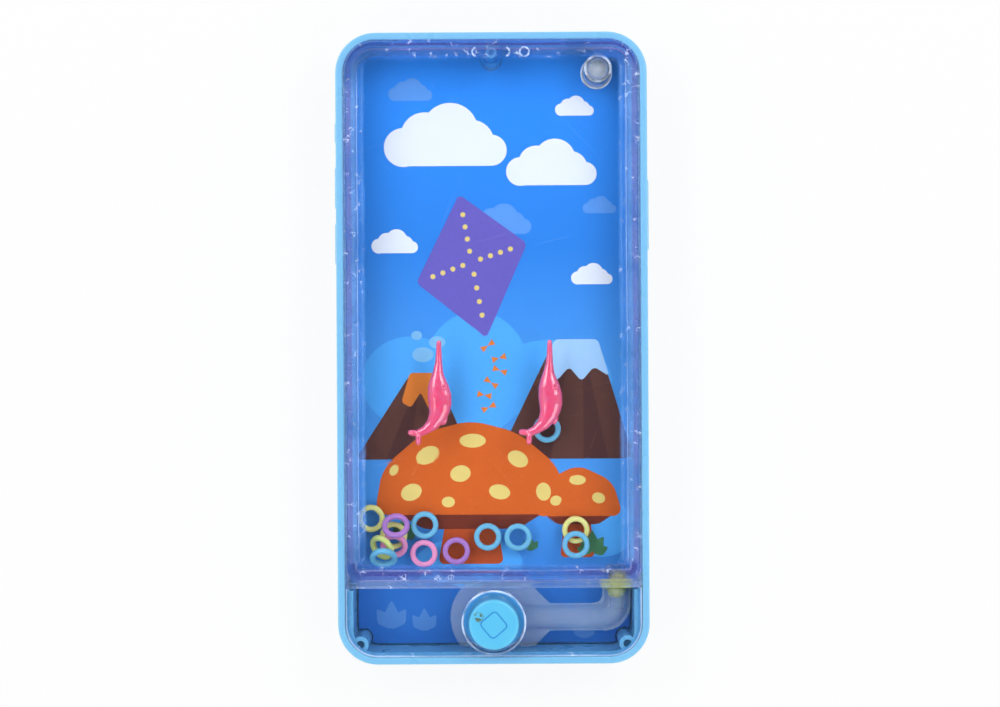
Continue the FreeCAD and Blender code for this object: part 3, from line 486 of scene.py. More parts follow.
def plastic(name, colour, deep, roughness=0.3, sink=0.0, scuffed=0.5, bump=0.10):
    material, tree, shader, place = start_material(name)
    grain = grouped(tree, GRAIN, place, Wave=120.0, Grain=2600.0)
    scratch = grouped(tree, SCRATCHES, place, Scale=2.6, Amount=scuffed)
    tree.fill(shader, {"Base Color": tree.mix(colour, deep, grain.outputs["Mottle"])})
    rough = tree.plus(tree.times(grain.outputs["Mottle"], 0.10), roughness - 0.05)
    rough = tree.plus(rough, tree.times(scratch.outputs["Mask"], 0.25))
    tree.fill(shader, {"Roughness": rough})
    height = tree.minus(grain.outputs["Height"], scratch.outputs["Mask"])
    tree.fill(shader, {"Normal": tree.bump(height, bump)})
    shader.inputs["IOR"].default_value = 1.5
    if sink:
        tree.fill(shader, {"Subsurface Weight": sink, "Subsurface Radius": (0.6, 0.8, 1.0),
                           "Subsurface Scale": 0.0012})
    return material


def blend_in(tree, shader, shade, mask):
    """Mixes a shade over the base colour that a material already has."""
    before = shader.inputs["Base Color"].links[0].from_socket
    tree.fill(shader, {"Base Color": tree.mix(before, shade, mask)})


def wall_distance(tree, place, half_across, low, high, radii):
    """Millimetres from a rounded rectangle's outline, inwards. Its low and high corners differ."""
    spot = tree.node("SeparateXYZ", {0: place})
    radius = tree.remap(spot.outputs["Y"], -0.02, 0.02, radii[0], radii[1])
    gaps = []
    for axis, middle, half in (("X", 0, half_across), ("Y", (low + high) / 2, (high - low) / 2)):
        from_middle = tree.minus(tree.times(spot.outputs[axis], 1 / MM), middle)
        reach = tree.node("Math", {0: from_middle}, operation="ABSOLUTE").outputs[0]
        gaps.append(tree.plus(tree.minus(reach, half), radius))
    outside = [tree.math("POWER", tree.math("MAXIMUM", gap, 0.0), 2.0) for gap in gaps]
    outside = tree.math("POWER", tree.plus(*outside), 0.5)
    inside = tree.math("MINIMUM", tree.math("MAXIMUM", *gaps), 0.0)
    return tree.minus(tree.minus(radius, outside), inside)


def shell_plastic():
    """Light blue, with a painted highlight at its rounded edges, painted shade inside the tray and dark
    painted holes at the pins.
    """
    material = plastic("moulded_blue", tint(136, 206, 252), tint(132, 203, 251), 0.28, sink=0.2)
    tree, shader, place = open_material(material)
    away = wall_distance(tree, place, HALF_WIDTH, -HALF_LENGTH, HALF_LENGTH, (CORNER, CORNER))
    height = tree.times(tree.along(place, "Z"), 1 / MM)
    # Painted shade: the blue turns deeper inside the walls and below the rim.
    inside = tree.remap(away, 1.6, 1.75)
    under = tree.remap(height, 14.95, 14.6)
    painted_inner_shade = tree.times(inside, tree.times(under, 0.75))
    blend_in(tree, shader, tint(76, 144, 192), painted_inner_shade)
    # Painted shade: a dark disc at the corner posts' pin holes, where the clear pin fills the hole.
    mirrored = tree.node("VectorMath", {0: place}, operation="ABSOLUTE").outputs[0]
    hole = (POST[0] * MM, -POST[1] * MM, 12.7 * MM)
    pin = tree.remap(tree.distance(mirrored, hole), 1.04 * MM, 0.94 * MM)
    blend_in(tree, shader, tint(40, 92, 134), pin)
    # A painted highlight: pale cyan where the outer walls are seen edge on.
    edge = tree.node("LayerWeight", {"Blend": 0.5}).outputs["Facing"]
    edge = tree.remap(edge, 0.25, 0.85, 0.0, 0.85)
    outside = tree.minus(1.0, inside)
    blend_in(tree, shader, tint(214, 252, 255), tree.times(edge, outside))
    return material


SHELL_BLUE = shell_plastic()


def soiled_and_shaded_button():
    """The button's plastic with a few grains of dirt on its face, where the photo has them, and painted shade
    on its side and in the groove of its mark.
    """
    material = plastic("button_plastic", tint(104, 210, 254), tint(90, 200, 252), 0.34, sink=0.2, scuffed=0.8)
    tree, shader, place = open_material(material)
    dirt = (-3.6 * MM, -62.95 * MM, BUTTON_TOP * MM)
    near = tree.remap(tree.distance(place, dirt), 1.5 * MM, 0.6 * MM)
    crumbs = tree.remap(tree.noise(place, 1250.0), 0.49, 0.55)
    blend_in(tree, shader, tint(98, 116, 78), tree.times(near, crumbs))
    # Painted shade: the button's side darkens below its top, where the collar shades it.
    height = tree.times(tree.along(place, "Z"), 1 / MM)
    painted_flank_shade = tree.remap(height, 20.3, 19.0, 0.0, 0.8)
    blend_in(tree, shader, tint(52, 138, 206), painted_flank_shade)
    # Painted shade in the groove of the mark on the button's face.
    middle = tree.distance(place, (0, BUTTON[1] * MM, 20.4 * MM))
    middle = tree.remap(middle, 4.3 * MM, 4.2 * MM)
    painted_groove_shade = tree.remap(height, 20.56, 20.44, 0.0, 0.85)
    blend_in(tree, shader, tint(62, 176, 240), tree.times(middle, painted_groove_shade))
    return material


BUTTON_BLUE = soiled_and_shaded_button()
print("opaque plastics:", SHELL_BLUE.name, BUTTON_BLUE.name)

# %% [markdown]
# ## Clear plastic
# The cover and the tank are clear polystyrene. A shader with full transmission bends the
# light as the real walls do. Lamps can't shine through such a surface by themselves, so
# rays that look for a lamp meet a plain see-through shader instead. Along the edge, where
# the halves were welded, the plastic is crazed, and that is a bump near the walls only.

# %% Clear plastic
def clear_plastic(name, colour, crazed_from, crazed, shade, bend=1.46):
    material, tree, shader, place = start_material(name)
    scratch = grouped(tree, SCRATCHES, place, Scale=1.2, Amount=0.6)
    speck = grouped(tree, SPECKS, place, Scale=1100.0, Amount=0.6)
    spot = tree.node("SeparateXYZ", {0: place})
    side = tree.node("Math", {0: spot.outputs["X"]}, operation="ABSOLUTE").outputs[0]
    edge = tree.remap(side, crazed_from * MM, (crazed_from + 1.0) * MM)
    top = tree.remap(spot.outputs["Y"], 70.2 * MM, 71.4 * MM)
    near_wall = tree.math("MAXIMUM", edge, top)
    craze = tree.noise(place, 520.0, 4.0)
    marks = tree.times(speck.outputs["Mask"], 0.5)
    rough = tree.plus(tree.times(scratch.outputs["Mask"], 0.35), marks)
    tree.fill(shader, {"Roughness": tree.plus(rough, 0.02)})
    height = tree.times(tree.times(craze, near_wall), crazed)
    wave = tree.noise(place, 45.0, 1.0)
    height = tree.plus(height, tree.times(wave, 0.25))
    height = tree.minus(height, tree.times(scratch.outputs["Mask"], 0.2))
    tree.fill(shader, {"Normal": tree.bump(height, 0.25, 0.0003)})
    tree.fill(shader, {"Base Color": colour, "Transmission Weight": 1.0, "IOR": bend})
    lets_through = tree.node("BsdfTransparent", {"Color": shade})
    path = tree.node("LightPath")
    mix = tree.node("MixShader", {0: path.outputs["Is Shadow Ray"], 1: shader.outputs[0],
                                  2: lets_through.outputs[0]})
    link(tree, mix.outputs[0], material.node_tree.nodes["Material Output"].inputs["Surface"])
    return material


COVER_CLEAR = clear_plastic("cover_clear", (0.97, 0.985, 1.0, 1), 32.6, 1.0, (0.96, 0.97, 0.98, 1))
PLATE_CLEAR = clear_plastic("plate_clear", (0.97, 0.985, 1.0, 1), 33.5, 0.6, (0.97, 0.98, 0.98, 1), 1.2)
print("clear plastics:", COVER_CLEAR.name, PLATE_CLEAR.name)

# %% [markdown]
# ## The rear shell
# A tray moulded in light blue plastic. It starts as a slab with round corners, its back
# edge is rounded, and its inside is an inset pushed down to the floor. The keys of a
# phone, a rib round the pump bay, three posts for the cover's pins and the ribs under the
# card are then joined to it.

# %% Tray
BACK_ROUNDING = 2.3


def inset_of(spot):
    """How far a place lies inwards from the tray's outline, in mm."""
    gaps = [abs(spot.x) - HALF_WIDTH + CORNER, abs(spot.y) - HALF_LENGTH + CORNER]
    outside = math.hypot(max(gaps[0], 0), max(gaps[1], 0))
    return CORNER - outside - min(max(gaps), 0)


def on_rim(nearest, furthest):
    """Tests whether an edge of the rim lies within a range of distances from the outline."""
    level = at_height(RIM_HEIGHT)
    return lambda spots: level(spots) and all(nearest < inset_of(spot) < furthest for spot in spots)


shell = slab("rear_shell_dressed", (-HALF_WIDTH, HALF_WIDTH), (-HALF_LENGTH, HALF_LENGTH),
             (0, RIM_HEIGHT), CORNER, CORNER)
round_off(shell, "EDGE", at_height(0), BACK_ROUNDING, 7)
pick(shell, "FACE", at_height(RIM_HEIGHT))
bpy.ops.mesh.inset(thickness=WALL * MM)
pull(z=FLOOR - RIM_HEIGHT)
round_off(shell, "EDGE", on_rim(-1.0, 0.1), 0.5, 4)
round_off(shell, "EDGE", on_rim(WALL - 0.1, WALL + 1.0), 0.3, 3)
settle(shell)
print("tray:", [round(v / MM, 1) for v in shell.dimensions])

# %% Keys on the sides
KEYS = ((-1, 51.8, 5.2), (-1, 38.6, 10.2), (-1, 25.1, 10.2), (1, 31.8, 17.3))
KEY_MIDDLE = 8.2
KEY_HALF = 2.2
for side, place, length in KEYS:
    clear_selection()
    bpy.ops.mesh.primitive_cube_add(size=1)
    key = opened("key")
    stretch(1.4, length, 2 * KEY_HALF)
    move(side * (HALF_WIDTH - 0.1), place, KEY_MIDDLE)
    round_off(key, "EDGE", lambda spots: abs(spots[0].x - spots[1].x) > 1, 1.1, 6)
    face = side * (HALF_WIDTH + 0.6)
    round_off(key, "EDGE", lambda spots: all(abs(spot.x - face) < NEAR for spot in spots), 0.25, 3)
    add(shell, settle(key))
print("keys:", len(KEYS))

# %% Rib of the pump bay, posts, card ribs and the plug's hole
BAY_ROOF = 13.8
TANK_ROOF = 14.6
INNER_X = HALF_WIDTH - WALL
INNER_Y = HALF_LENGTH - WALL
RIB_X = INNER_X - 0.8
RIB_TOP = -57.5
rib = slab("bay_rib", (-RIB_X, RIB_X), (-INNER_Y - 0.4, RIB_TOP), (FLOOR - 0.4, BAY_ROOF - 0.02), 6.5)
cut(rib, slab("bay_room", (-RIB_X + 1.1, RIB_X - 1.1), (-INNER_Y + 1.1, 0), (0, 20), 5.4))
add(shell, rib)
for middle in (-52.8, -24.0, 0.0, 24.0, 48.0):
    add(shell, slab("card_rib", (-INNER_X - 0.3, INNER_X + 0.3), (middle - 0.7, middle + 0.7), (1.5, 2.6)))
for side in (-1, 1):
    corner = (side * POST[0], POST[1])
    add(shell, rod("post", 1.9, corner, (FLOOR - 0.5, BAY_ROOF - 0.2)))
    cut(shell, rod("pin_hole", 0.95, corner, (12.7, 16)))
add(shell, rod("top_post", 1.3, TOP_POST, (FLOOR - 0.5, TANK_ROOF - 0.2)))
cut(shell, rod("top_pin_hole", 0.65, TOP_POST, (TANK_ROOF - 1.2, 16)))
cut(shell, rod("plug_hole", 3.7, SPOUT, (-1, 4), 64))
dress(settle(shell), SHELL_BLUE, "game", ["rear_shell"])

# %% [markdown]
# ## The front cover
# One clear moulding. Slabs make the plate over the tank and the lower plate over the pump
# bay, and the tank is a solid block whose inside is cut away. A small pocket in its top
# wall goes round the shell's post. A ridge, the button's collar and the pins come last.
# The front edges of the plates, the ridge and the collar's rim are rounded a little, so that
# they catch the light as in the photo.

# %% Plates and walls
FRONT = 16.2
BAY_FRONT = 15.4
TANK_FLOOR = 4.3
SEAM_GAP = 0.02
COVER_X = 35.1
COVER_Y = 73.1
TANK_X = 34.7
TANK_TOP = 72.7
TANK_BOTTOM = -54.8
cover = slab("front_cover_dressed", (-COVER_X, COVER_X), (TANK_BOTTOM, COVER_Y), (TANK_ROOF, FRONT), 2.4, 7.6)
round_off(cover, "EDGE", at_height(FRONT), 0.4, 3)
settle(cover)
walls = slab("tank_walls", (-TANK_X, TANK_X), (TANK_BOTTOM + 0.01, TANK_TOP),
             (TANK_FLOOR + SEAM_GAP, TANK_ROOF + 0.5), 2.4, 7.2)
add(cover, walls)
lower = slab("bay_plate", (-COVER_X, COVER_X), (-COVER_Y, TANK_BOTTOM + 0.75), (BAY_ROOF, BAY_FRONT), 7.6)


def on_low_edge(spots):
    return at_height(BAY_FRONT)(spots) and min(spot.y for spot in spots) < TANK_BOTTOM - 0.1


round_off(lower, "EDGE", on_low_edge, 0.35, 3)
add(cover, settle(lower))
print("cover:", [round(v / MM, 1) for v in cover.dimensions])

# %% Post pocket, room for the water, nozzle hole
NOTCH = 1.5
BOSS = 2.75
NECK_X = 29.5
PUMP_Z = 7.7


def key_shape(name, radius, top, up):
    """A bar with one round end, which points down the toy."""
    bar = slab(name, (-radius, radius), (TOP_POST[1], top), up)
    return add(bar, rod("bar_end", radius, TOP_POST, up, 40))


room = slab("water_room", (-33.2, 33.2), (-53.3, 71.2), (0, TANK_ROOF), 0.9, 5.7)
cut(room, key_shape("boss_space", BOSS, 75, (-1, 20)))
cut(cover, room)
cut(cover, key_shape("post_room", NOTCH, 75, (0, TANK_ROOF)))
hole = rod("nozzle_hole", 2.05, (0, 0), (-2.5, 2.5))
swing(hole, math.pi / 2, "X", (NECK_X, -54, PUMP_Z))
cut(cover, settle(hole))
print("cover after cutting:", len(cover.data.polygons), "faces")

# %% Ridge, collar, pins and the earpiece relief
COLLAR_TOP = 17.0
LENS = (7.9, 70.1)
ridge = slab("ridge", (-TANK_X, TANK_X), (TANK_BOTTOM - 2.0, TANK_BOTTOM - 0.6),
             (BAY_FRONT - 0.3, BAY_FRONT + 0.7))
round_off(ridge, "EDGE", at_height(BAY_FRONT + 0.7), 0.3, 3)
add(cover, settle(ridge))
collar = rod("collar", 7.75, BUTTON, (BAY_FRONT - 0.3, COLLAR_TOP), 96)
round_off(collar, "EDGE", at_height(COLLAR_TOP), 0.34, 4)
add(cover, settle(collar))
cut(cover, rod("collar_bore", 6.85, BUTTON, (10, 20), 96))
for corner, radius, roof in (((POST[0], POST[1]), 0.9, BAY_ROOF), ((-POST[0], POST[1]), 0.9, BAY_ROOF),
                             (TOP_POST, 0.6, TANK_ROOF)):
    add(cover, rod("pin", radius, corner, (roof - 6.0, roof + 0.4), 32))
pill = slab("earpiece_line", (-4.6, 4.6), (68.9, 71.3), (FRONT - 0.2, FRONT + 1), 1.15, 1.15)
cut(pill, slab("earpiece_inside", (-4.3, 4.3), (69.2, 71.0), (FRONT - 1, FRONT + 2), 0.85, 0.85))
cut(cover, pill)
cut(cover, tube("lens_line", 1.2, 0.9, LENS, (FRONT - 0.2, FRONT + 1), 40))
dress(settle(cover), COVER_CLEAR, "game", ["front_cover"])

# %% [markdown]
# ## Painted reflections in the walls
# Looking down into the toy, the eye meets the tank's walls edge on. There the plastic is
# crazed from the welding, and the walls bend and mirror the shell and the card, which shows
# as pale, lilac and blue lines that follow the walls. A thin frame inside the plastic carries
# these lines as painted reflections and painted shade. Its material works out how far each
# point lies from the outer wall, and a colour ramp turns that into the lines. The sides, the
# top and the low wall each have their own list of stripes. A second frame carries painted
# light along the edge of the lower plate and over the shaded gap beside it.

# %% Stripes
BAND = 5.4
BEYOND = 2.6


def striped(tree, away, stripes):
    """A colour ramp over the wall's distance. Each stripe is (distance, shade, cover)."""
    ramp = tree.node("ValToRGB")
    width = BAND + BEYOND
    link(tree, tree.math("DIVIDE", tree.plus(away, BEYOND), width), ramp.inputs[0])
    stops = ramp.color_ramp.elements
    while len(stops) < len(stripes):
        stops.new(0.5)
    for stop, (distance, shade, cover) in zip(stops, stripes):
        stop.position = (distance + BEYOND) / width
        stop.color = tint(*shade)[:3] + (cover,)
    return ramp


def painted_light_stripes(name, stripes, distance, others=(), patchy=(0.2, 1.0)):
    """A see-through sheet of painted light: stripes of painted reflection and shade whose colour and cover
    follow the wall's distance.
    """
    material, tree, shader, place = start_material(name)
    away = distance(tree, place)
    shake = tree.noise(place, 55.0, 3.0)
    away = tree.plus(away, tree.times(tree.minus(shake, 0.5), 0.5))
    ramp = striped(tree, away, stripes)
    colour, cover = ramp.outputs["Color"], ramp.outputs["Alpha"]
    along = tree.times(tree.along(place, "Y"), 1 / MM)
    for others_stripes, first, last in others:
        there = tree.remap(along, first, last)
        ramp = striped(tree, away, others_stripes)
        colour = tree.mix(colour, ramp.outputs["Color"], there)
        step = tree.times(tree.minus(ramp.outputs["Alpha"], cover), there)
        cover = tree.plus(cover, step)
    tree.fill(shader, {"Base Color": colour})
    patch = tree.noise(place, 85.0, 5.0)
    patch = tree.remap(patch, 0.34, 0.66, patchy[0], patchy[1])
    # Painted glints: white dots along a crack pattern, which also show through the sheet.
    cells = tree.node("TexVoronoi", {"Vector": place, "Scale": 1300.0}, feature="DISTANCE_TO_EDGE")
    cracks = tree.remap(cells.outputs["Distance"], 0.10, 0.02)
    where = tree.noise(place, 520.0)
    where = tree.remap(where, 0.60, 0.70, 0.0, 0.8)
    glint_flecks = tree.times(cracks, where)
    blend_in(tree, shader, tint(226, 236, 255), glint_flecks)
    painted_glint = tree.times(glint_flecks, cover)
    # Painted refraction: an olive patch where the lime seal shows through the wall.
    seal = tree.distance(place, [v * MM for v in SEAL_SPOT])
    seal = tree.remap(seal, 3.1 * MM, 1.5 * MM, 0.0, 0.7)
    blend_in(tree, shader, tint(158, 160, 84), seal)
    path = tree.node("LightPath")
    lit = tree.minus(1.0, tree.times(path.outputs["Is Shadow Ray"], 0.75))
    shown = tree.math("MINIMUM", tree.plus(tree.times(cover, patch), painted_glint), 0.92)
    shown = tree.math("MAXIMUM", shown, tree.times(seal, tree.math("MINIMUM", cover, 0.7)))
    tree.fill(shader, {"Alpha": tree.times(shown, lit)})
    tree.fill(shader, {"Roughness": 0.5, "Specular IOR Level": 0.2})
    tree.fill(shader, {"Normal": tree.bump(patch, 0.3)})
    return material


# Stripes of painted reflection and painted shade for the sides, the top and the low wall.
SIDES = [
    (-1.7, (150, 178, 212), 0.2), (-0.9, (120, 166, 208), 0.6), (-0.1, (112, 148, 192), 0.55),
    (0.06, (70, 92, 156), 0.5), (0.3, (108, 126, 186), 0.8), (1.3, (104, 118, 184), 0.8),
    (1.5, (108, 156, 218), 0.7), (2.4, (102, 150, 214), 0.6), (2.62, (62, 116, 194), 0.4),
    (2.78, (186, 206, 240), 0.8), (2.95, (74, 132, 214), 0.45), (3.6, (78, 138, 220), 0.3),
    (3.95, (104, 158, 230), 0.42), (4.3, (92, 150, 226), 0.25), (4.8, (84, 144, 224), 0.0)]
TOP = [
    (-1.5, (96, 150, 184), 0.6), (-0.7, (150, 166, 206), 0.65), (-0.45, (62, 112, 200), 0.62),
    (0.25, (66, 116, 204), 0.6), (0.45, (62, 72, 150), 0.85), (0.85, (62, 72, 150), 0.8),
    (1.1, (84, 128, 202), 0.55), (1.5, (80, 124, 198), 0.5), (1.8, (122, 108, 178), 0.65),
    (2.1, (48, 96, 172), 0.55), (2.8, (50, 104, 188), 0.55), (3.5, (52, 112, 202), 0.45),
    (4.2, (60, 120, 214), 0.0)]
LOW = [
    (-1.75, (128, 152, 200), 0.75), (-1.5, (114, 140, 186), 0.5), (-0.5, (110, 134, 184), 0.5),
    (-0.25, (160, 160, 206), 0.7), (0.0, (84, 108, 182), 0.6), (0.7, (88, 108, 182), 0.65),
    (0.95, (66, 72, 148), 0.85), (1.8, (68, 74, 150), 0.8), (2.15, (142, 148, 206), 0.7),
    (2.4, (64, 106, 192), 0.4), (3.2, (66, 110, 198), 0.3), (3.45, (112, 128, 200), 0.45),
    (3.7, (66, 110, 198), 0.0)]


def from_tank_wall(tree, place):
    return wall_distance(tree, place, TANK_X, TANK_BOTTOM, TANK_TOP, (2.6, 6.4))


def from_plate_edge(tree, place):
    return wall_distance(tree, place, COVER_X, -COVER_Y, COVER_Y, (7.6, 7.6))


PAINTED_WALL_REFLECTIONS = painted_light_stripes("painted_reflections_in_walls", SIDES, from_tank_wall, [(TOP, 66.0, 69.0), (LOW, -50.0, -51.4)])
# Painted light along the lower plate's edge, and painted teal over the shaded gap beside it.
PLATE_EDGE = [(-0.4, (196, 214, 244), 0.9), (0.2, (180, 206, 240), 0.8), (0.4, (70, 136, 190), 0.85),
              (0.75, (70, 136, 190), 0.7), (1.0, (70, 136, 190), 0.0)]
EDGE_GLOW = painted_light_stripes("edge_glow", PLATE_EDGE, from_plate_edge, patchy=(0.7, 1.05))
print("haze:", PAINTED_WALL_REFLECTIONS.name, EDGE_GLOW.name)

# %% Frame of painted reflections, and painted light along the lower plate's edge
LEVEL = (14.66, 14.72)
reflection_frame = slab("painted_reflection_frame", (-COVER_X + 0.05, COVER_X - 0.05), (TANK_BOTTOM - 1.8, COVER_Y - 0.05),
            LEVEL, 0.5, 7.5)
cut(reflection_frame, slab("painted_reflection_room", (-TANK_X + 5.3, TANK_X - 5.3), (TANK_BOTTOM + 3.4, TANK_TOP - 5.3),
               (10, 20), 1.0, 2.2))
dress(settle(reflection_frame), PAINTED_WALL_REFLECTIONS, "game")
glow = slab("plate_edge_glow", (-COVER_X + 0.04, COVER_X - 0.04), (-COVER_Y + 0.04, TANK_BOTTOM - 2.1),
            LEVEL, 7.5)
cut(glow, slab("glow_room", (-COVER_X + 1.1, COVER_X - 1.1), (-COVER_Y + 1.1, 0), (10, 20), 6.4))
dress(settle(glow), EDGE_GLOW, "game")

# %% [markdown]
# ## Frosted lines and painted highlights
# Some edges of the clear moulding are matt, so they scatter light and show as pale lines:
# the earpiece and the lens. The pale lines round the pocket at the post, on the collar's rim
# and on the spout are painted highlights. Each is a film of whitish plastic just inside the
# clear one, and every film has a faint painted glow.

# %% Frosted lines and painted highlights
def frost_with_painted_glow(name, scale=1500.0, fade=(-0.1, -0.09)):
    """Plastic with a matt texture, which scatters part of the light, and a faint emission that is a painted
    glow. It fades down the toy.
    """
    material, tree, shader, place = start_material(name)
    grain = tree.noise(place, scale, 3.0)
    # The emission is a painted glow.
    tree.fill(shader, {"Base Color": tint(214, 228, 250), "Emission Color": tint(190, 214, 250),
                       "Emission Strength": 0.3, "Roughness": 0.6})
    veil = tree.remap(grain, 0.35, 0.7, 0.05, 0.6)
    kept = tree.remap(tree.along(place, "Y"), fade[0], fade[1], 0.25)
    tree.fill(shader, {"Alpha": tree.times(veil, kept)})
    return material


FROST_LEVEL = (15.5, 15.56)
frost = slab("earpiece_frost", (-4.6, 4.6), (68.9, 71.3), FROST_LEVEL, 1.15, 1.15)
cut(frost, slab("earpiece_frost_inside", (-4.2, 4.2), (69.3, 70.9), (15, 16), 0.78, 0.78))
cut(frost, slab("earpiece_frost_gap", (-3.6, 3.6), (68, 72), (15, 16)))
lens = rod("lens_frost", 1.3, LENS, FROST_LEVEL, 40)
cut(lens, rod("lens_frost_inside", 0.9, LENS, (15, 16), 40))
add(frost, lens)
# A painted highlight round the pocket at the post.
boss = key_shape("boss_highlight_film", BOSS - 0.05, 70.9, FROST_LEVEL)
cut(boss, key_shape("boss_highlight_film_inside", BOSS - 0.9, 75, (15, 16)))
add(frost, boss)
dress(settle(frost), frost_with_painted_glow("frost_and_painted_highlights"), "game")
# Painted highlights: pale arcs on the collar's rim and on the spout.
rim = tube("collar_highlight_film", 7.62, 7.22, BUTTON, (16.78, 16.86), 96)
dress(settle(rim), frost_with_painted_glow("painted_collar_highlight", 260.0, (-71.5 * MM, -67.0 * MM)), "game")
arcs = tube("spout_highlight_film", 3.32, 2.72, SPOUT, (11.82, 11.86))
low_arcs = tube("spout_foot_highlight_film", 3.85, 3.58, SPOUT, (4.75, 4.8))
dress(settle(add(arcs, low_arcs)), frost_with_painted_glow("painted_spout_highlights", 300.0), "game")

# %% [markdown]
# ## The back plate of the tank
# A clear plate closes the tank from behind. The fill spout and two sockets for the pegs
# stand on it. It is made from slabs and rods in the same way.

# %% Back plate
CARD_TOP = 3.1
plate = slab("tank_back_plate_dressed", (-TANK_X, TANK_X), (TANK_BOTTOM, TANK_TOP),
             (CARD_TOP, TANK_FLOOR), 2.4, 7.2)
cut(plate, key_shape("plate_notch", NOTCH, 75, (0, 20)))
spout = lathe("spout", [(2.6, 3.0), (3.62, 3.0), (3.62, 4.7), (3.38, 5.1), (3.35, 11.7), (3.25, 11.8),
                        (2.7, 11.8), (2.6, 11.7), (2.6, 3.0)], SPOUT)
cut(plate, rod("spout_hole", 2.9, SPOUT, (0, 8), 72))
add(plate, spout)
cut(plate, slab("under_plate", (20, 31), (61, 72), (0, CARD_TOP)))
SOCKETS = [(-13.84, -13.46), (12.76, -13.46)]
for place in SOCKETS:
    add(plate, rod("socket", 1.3, place, (TANK_FLOOR - 0.5, TANK_FLOOR + 2.2), 40))
    cut(plate, rod("socket_bore", 0.7, place, (TANK_FLOOR + 0.2, TANK_FLOOR + 4), 32))
dress(settle(plate), PLATE_CLEAR, "game", ["tank_back_plate"])

# %% [markdown]
# ## The printed card
# A glossy card behind the tank shows a landscape under a blue sky. The card itself is a
# thin slab whose material runs from deep blue at the top to light blue at the horizon.
# Each printed motif is a film of ink: a flat outline with bevelled corners, a hundredth
# of a millimetre thick, in layers like the passes of a printing press.

# %% Inks
def ink(name, colour, other=None, stops=None):
    """A printed colour, or a run of colours up the card, with the press's fine dots."""
    material, tree, shader, place = start_material(name)
    cells = tree.node("TexVoronoi", {"Vector": place, "Scale": 2400.0}).outputs["Distance"]
    dots = tree.remap(cells, 0.1, 0.7)
    blotch = tree.noise(place, 35.0, 3.0)
    mask = tree.times(tree.plus(dots, blotch), 0.5)
    if stops:
        height = tree.along(place, "Y")
        share = tree.remap(height, -75 * MM, 75 * MM)
        ramp = tree.node("ValToRGB")
        link(tree, share, ramp.inputs[0])
        stripes = ramp.color_ramp.elements
        while len(stripes) < len(stops):
            stripes.new(0.5)
        for stripe, (level, shade) in zip(stripes, stops):
            stripe.position = (level + 75) / 150
            stripe.color = shade
        dotted = tree.mix(ramp.outputs[0], (0.90, 0.94, 0.97, 1), mask, blend_type="MULTIPLY")
        tree.fill(shader, {"Base Color": dotted})
    else:
        tree.fill(shader, {"Base Color": tree.mix(colour, other, mask)})
    tree.fill(shader, {"Roughness": tree.plus(tree.times(blotch, 0.2), 0.28)})
    shader.inputs["Specular IOR Level"].default_value = 0.2
    tree.fill(shader, {"Normal": tree.bump(mask, 0.04, 0.0001)})
    return material


SKY = ink("ink_sky", None, None, (
    (-74, tint(44, 116, 200)), (-56, tint(42, 116, 206)), (-54, tint(58, 138, 226)),
    (-34, tint(72, 154, 236)), (-6, tint(76, 158, 240)), (24, tint(42, 134, 230)), (70, tint(40, 146, 255))))
INK_SHADES = {
    "cloud": ((244, 246, 255), (232, 236, 252)),
    "pale_cloud": ((96, 160, 240), (88, 152, 236)),
    "hill": ((84, 178, 255), (74, 166, 248)),
    "haze": ((140, 197, 240), (120, 186, 236)),
    "snow": ((178, 216, 255), (160, 204, 252)),
    "rock": ((100, 60, 52), (88, 52, 48)),
    "dark_rock": ((84, 46, 44), (76, 42, 42)),
    "lava": ((232, 132, 50), (222, 120, 44)),
    "cap": ((224, 104, 34), (210, 92, 28)),
    "gills": ((122, 48, 30), (112, 42, 28)),
    "stalk": ((196, 82, 34), (182, 72, 30)),
    "spot": ((238, 214, 128), (230, 204, 118)),
    "violet": ((112, 100, 196), (102, 90, 186)),
    "grass": ((70, 132, 92), (62, 120, 84)),
    "leaf": ((84, 142, 212), (76, 134, 206)),
}
INKS = {name: ink(f"ink_{name}", tint(*light), tint(*deep)) for name, (light, deep) in INK_SHADES.items()}
print("inks:", len(INKS) + 1)

# %% Card sheet
INK_BASE = 2.86
card = slab("card_sheet", (-34.9, 34.9), (-57.1, 72.9), (2.6, INK_BASE), 0.0, 7.4)
add(card, slab("card_tongue", (-33.0, 33.0), (-71.8, -56.0), (2.6, INK_BASE), 5.0))
for side in (-1, 1):
    cut(card, rod("post_room", 2.2, (side * POST[0], POST[1]), (0, 6)))
cut(card, key_shape("card_notch", NOTCH, 75, (0, 6)))
cut(card, rod("card_hole", 3.7, SPOUT, (0, 6), 64))
dress(settle(card), SKY, "game", ["backing_card"])


# %% Films of ink
INK_STEP = 0.016


def traced(name, corners, height):
    """A flat face through given corners, in mm."""
    clear_selection()
    bpy.ops.mesh.primitive_circle_add(vertices=len(corners), radius=1, fill_type="NGON")
    piece = named(name)
    for vertex, corner in zip(piece.data.vertices, corners):
        vertex.co = (corner[0] * MM, corner[1] * MM, height * MM)
    return piece


def film(corners, layer, rounding=0.0):
    """A flat outline through corners, in mm, rounded and given an ink's thickness."""
    piece = traced("film", corners, INK_BASE + 0.004 + INK_STEP * layer)
    choose(piece, "EDIT")
    bpy.ops.mesh.select_all(**ALL)
    if rounding:
        bpy.ops.mesh.bevel(offset=rounding * MM, segments=8, affect="VERTICES", clamp_overlap=True)
        bpy.ops.mesh.select_all(**ALL)
    pull(z=INK_STEP * 0.6)
    return settle(piece)


def disc(x, y, wide, tall, layer, turn=0.0, sides=40):
    """An oval film, turned by an angle."""
    corners = []
    for step in range(sides):
        around = 2 * math.pi * step / sides
        spot = Vector((wide * math.cos(around), tall * math.sin(around)))
        spot.rotate(Matrix.Rotation(turn, 2))
        corners.append((x + spot.x, y + spot.y))
    return film(corners, layer)


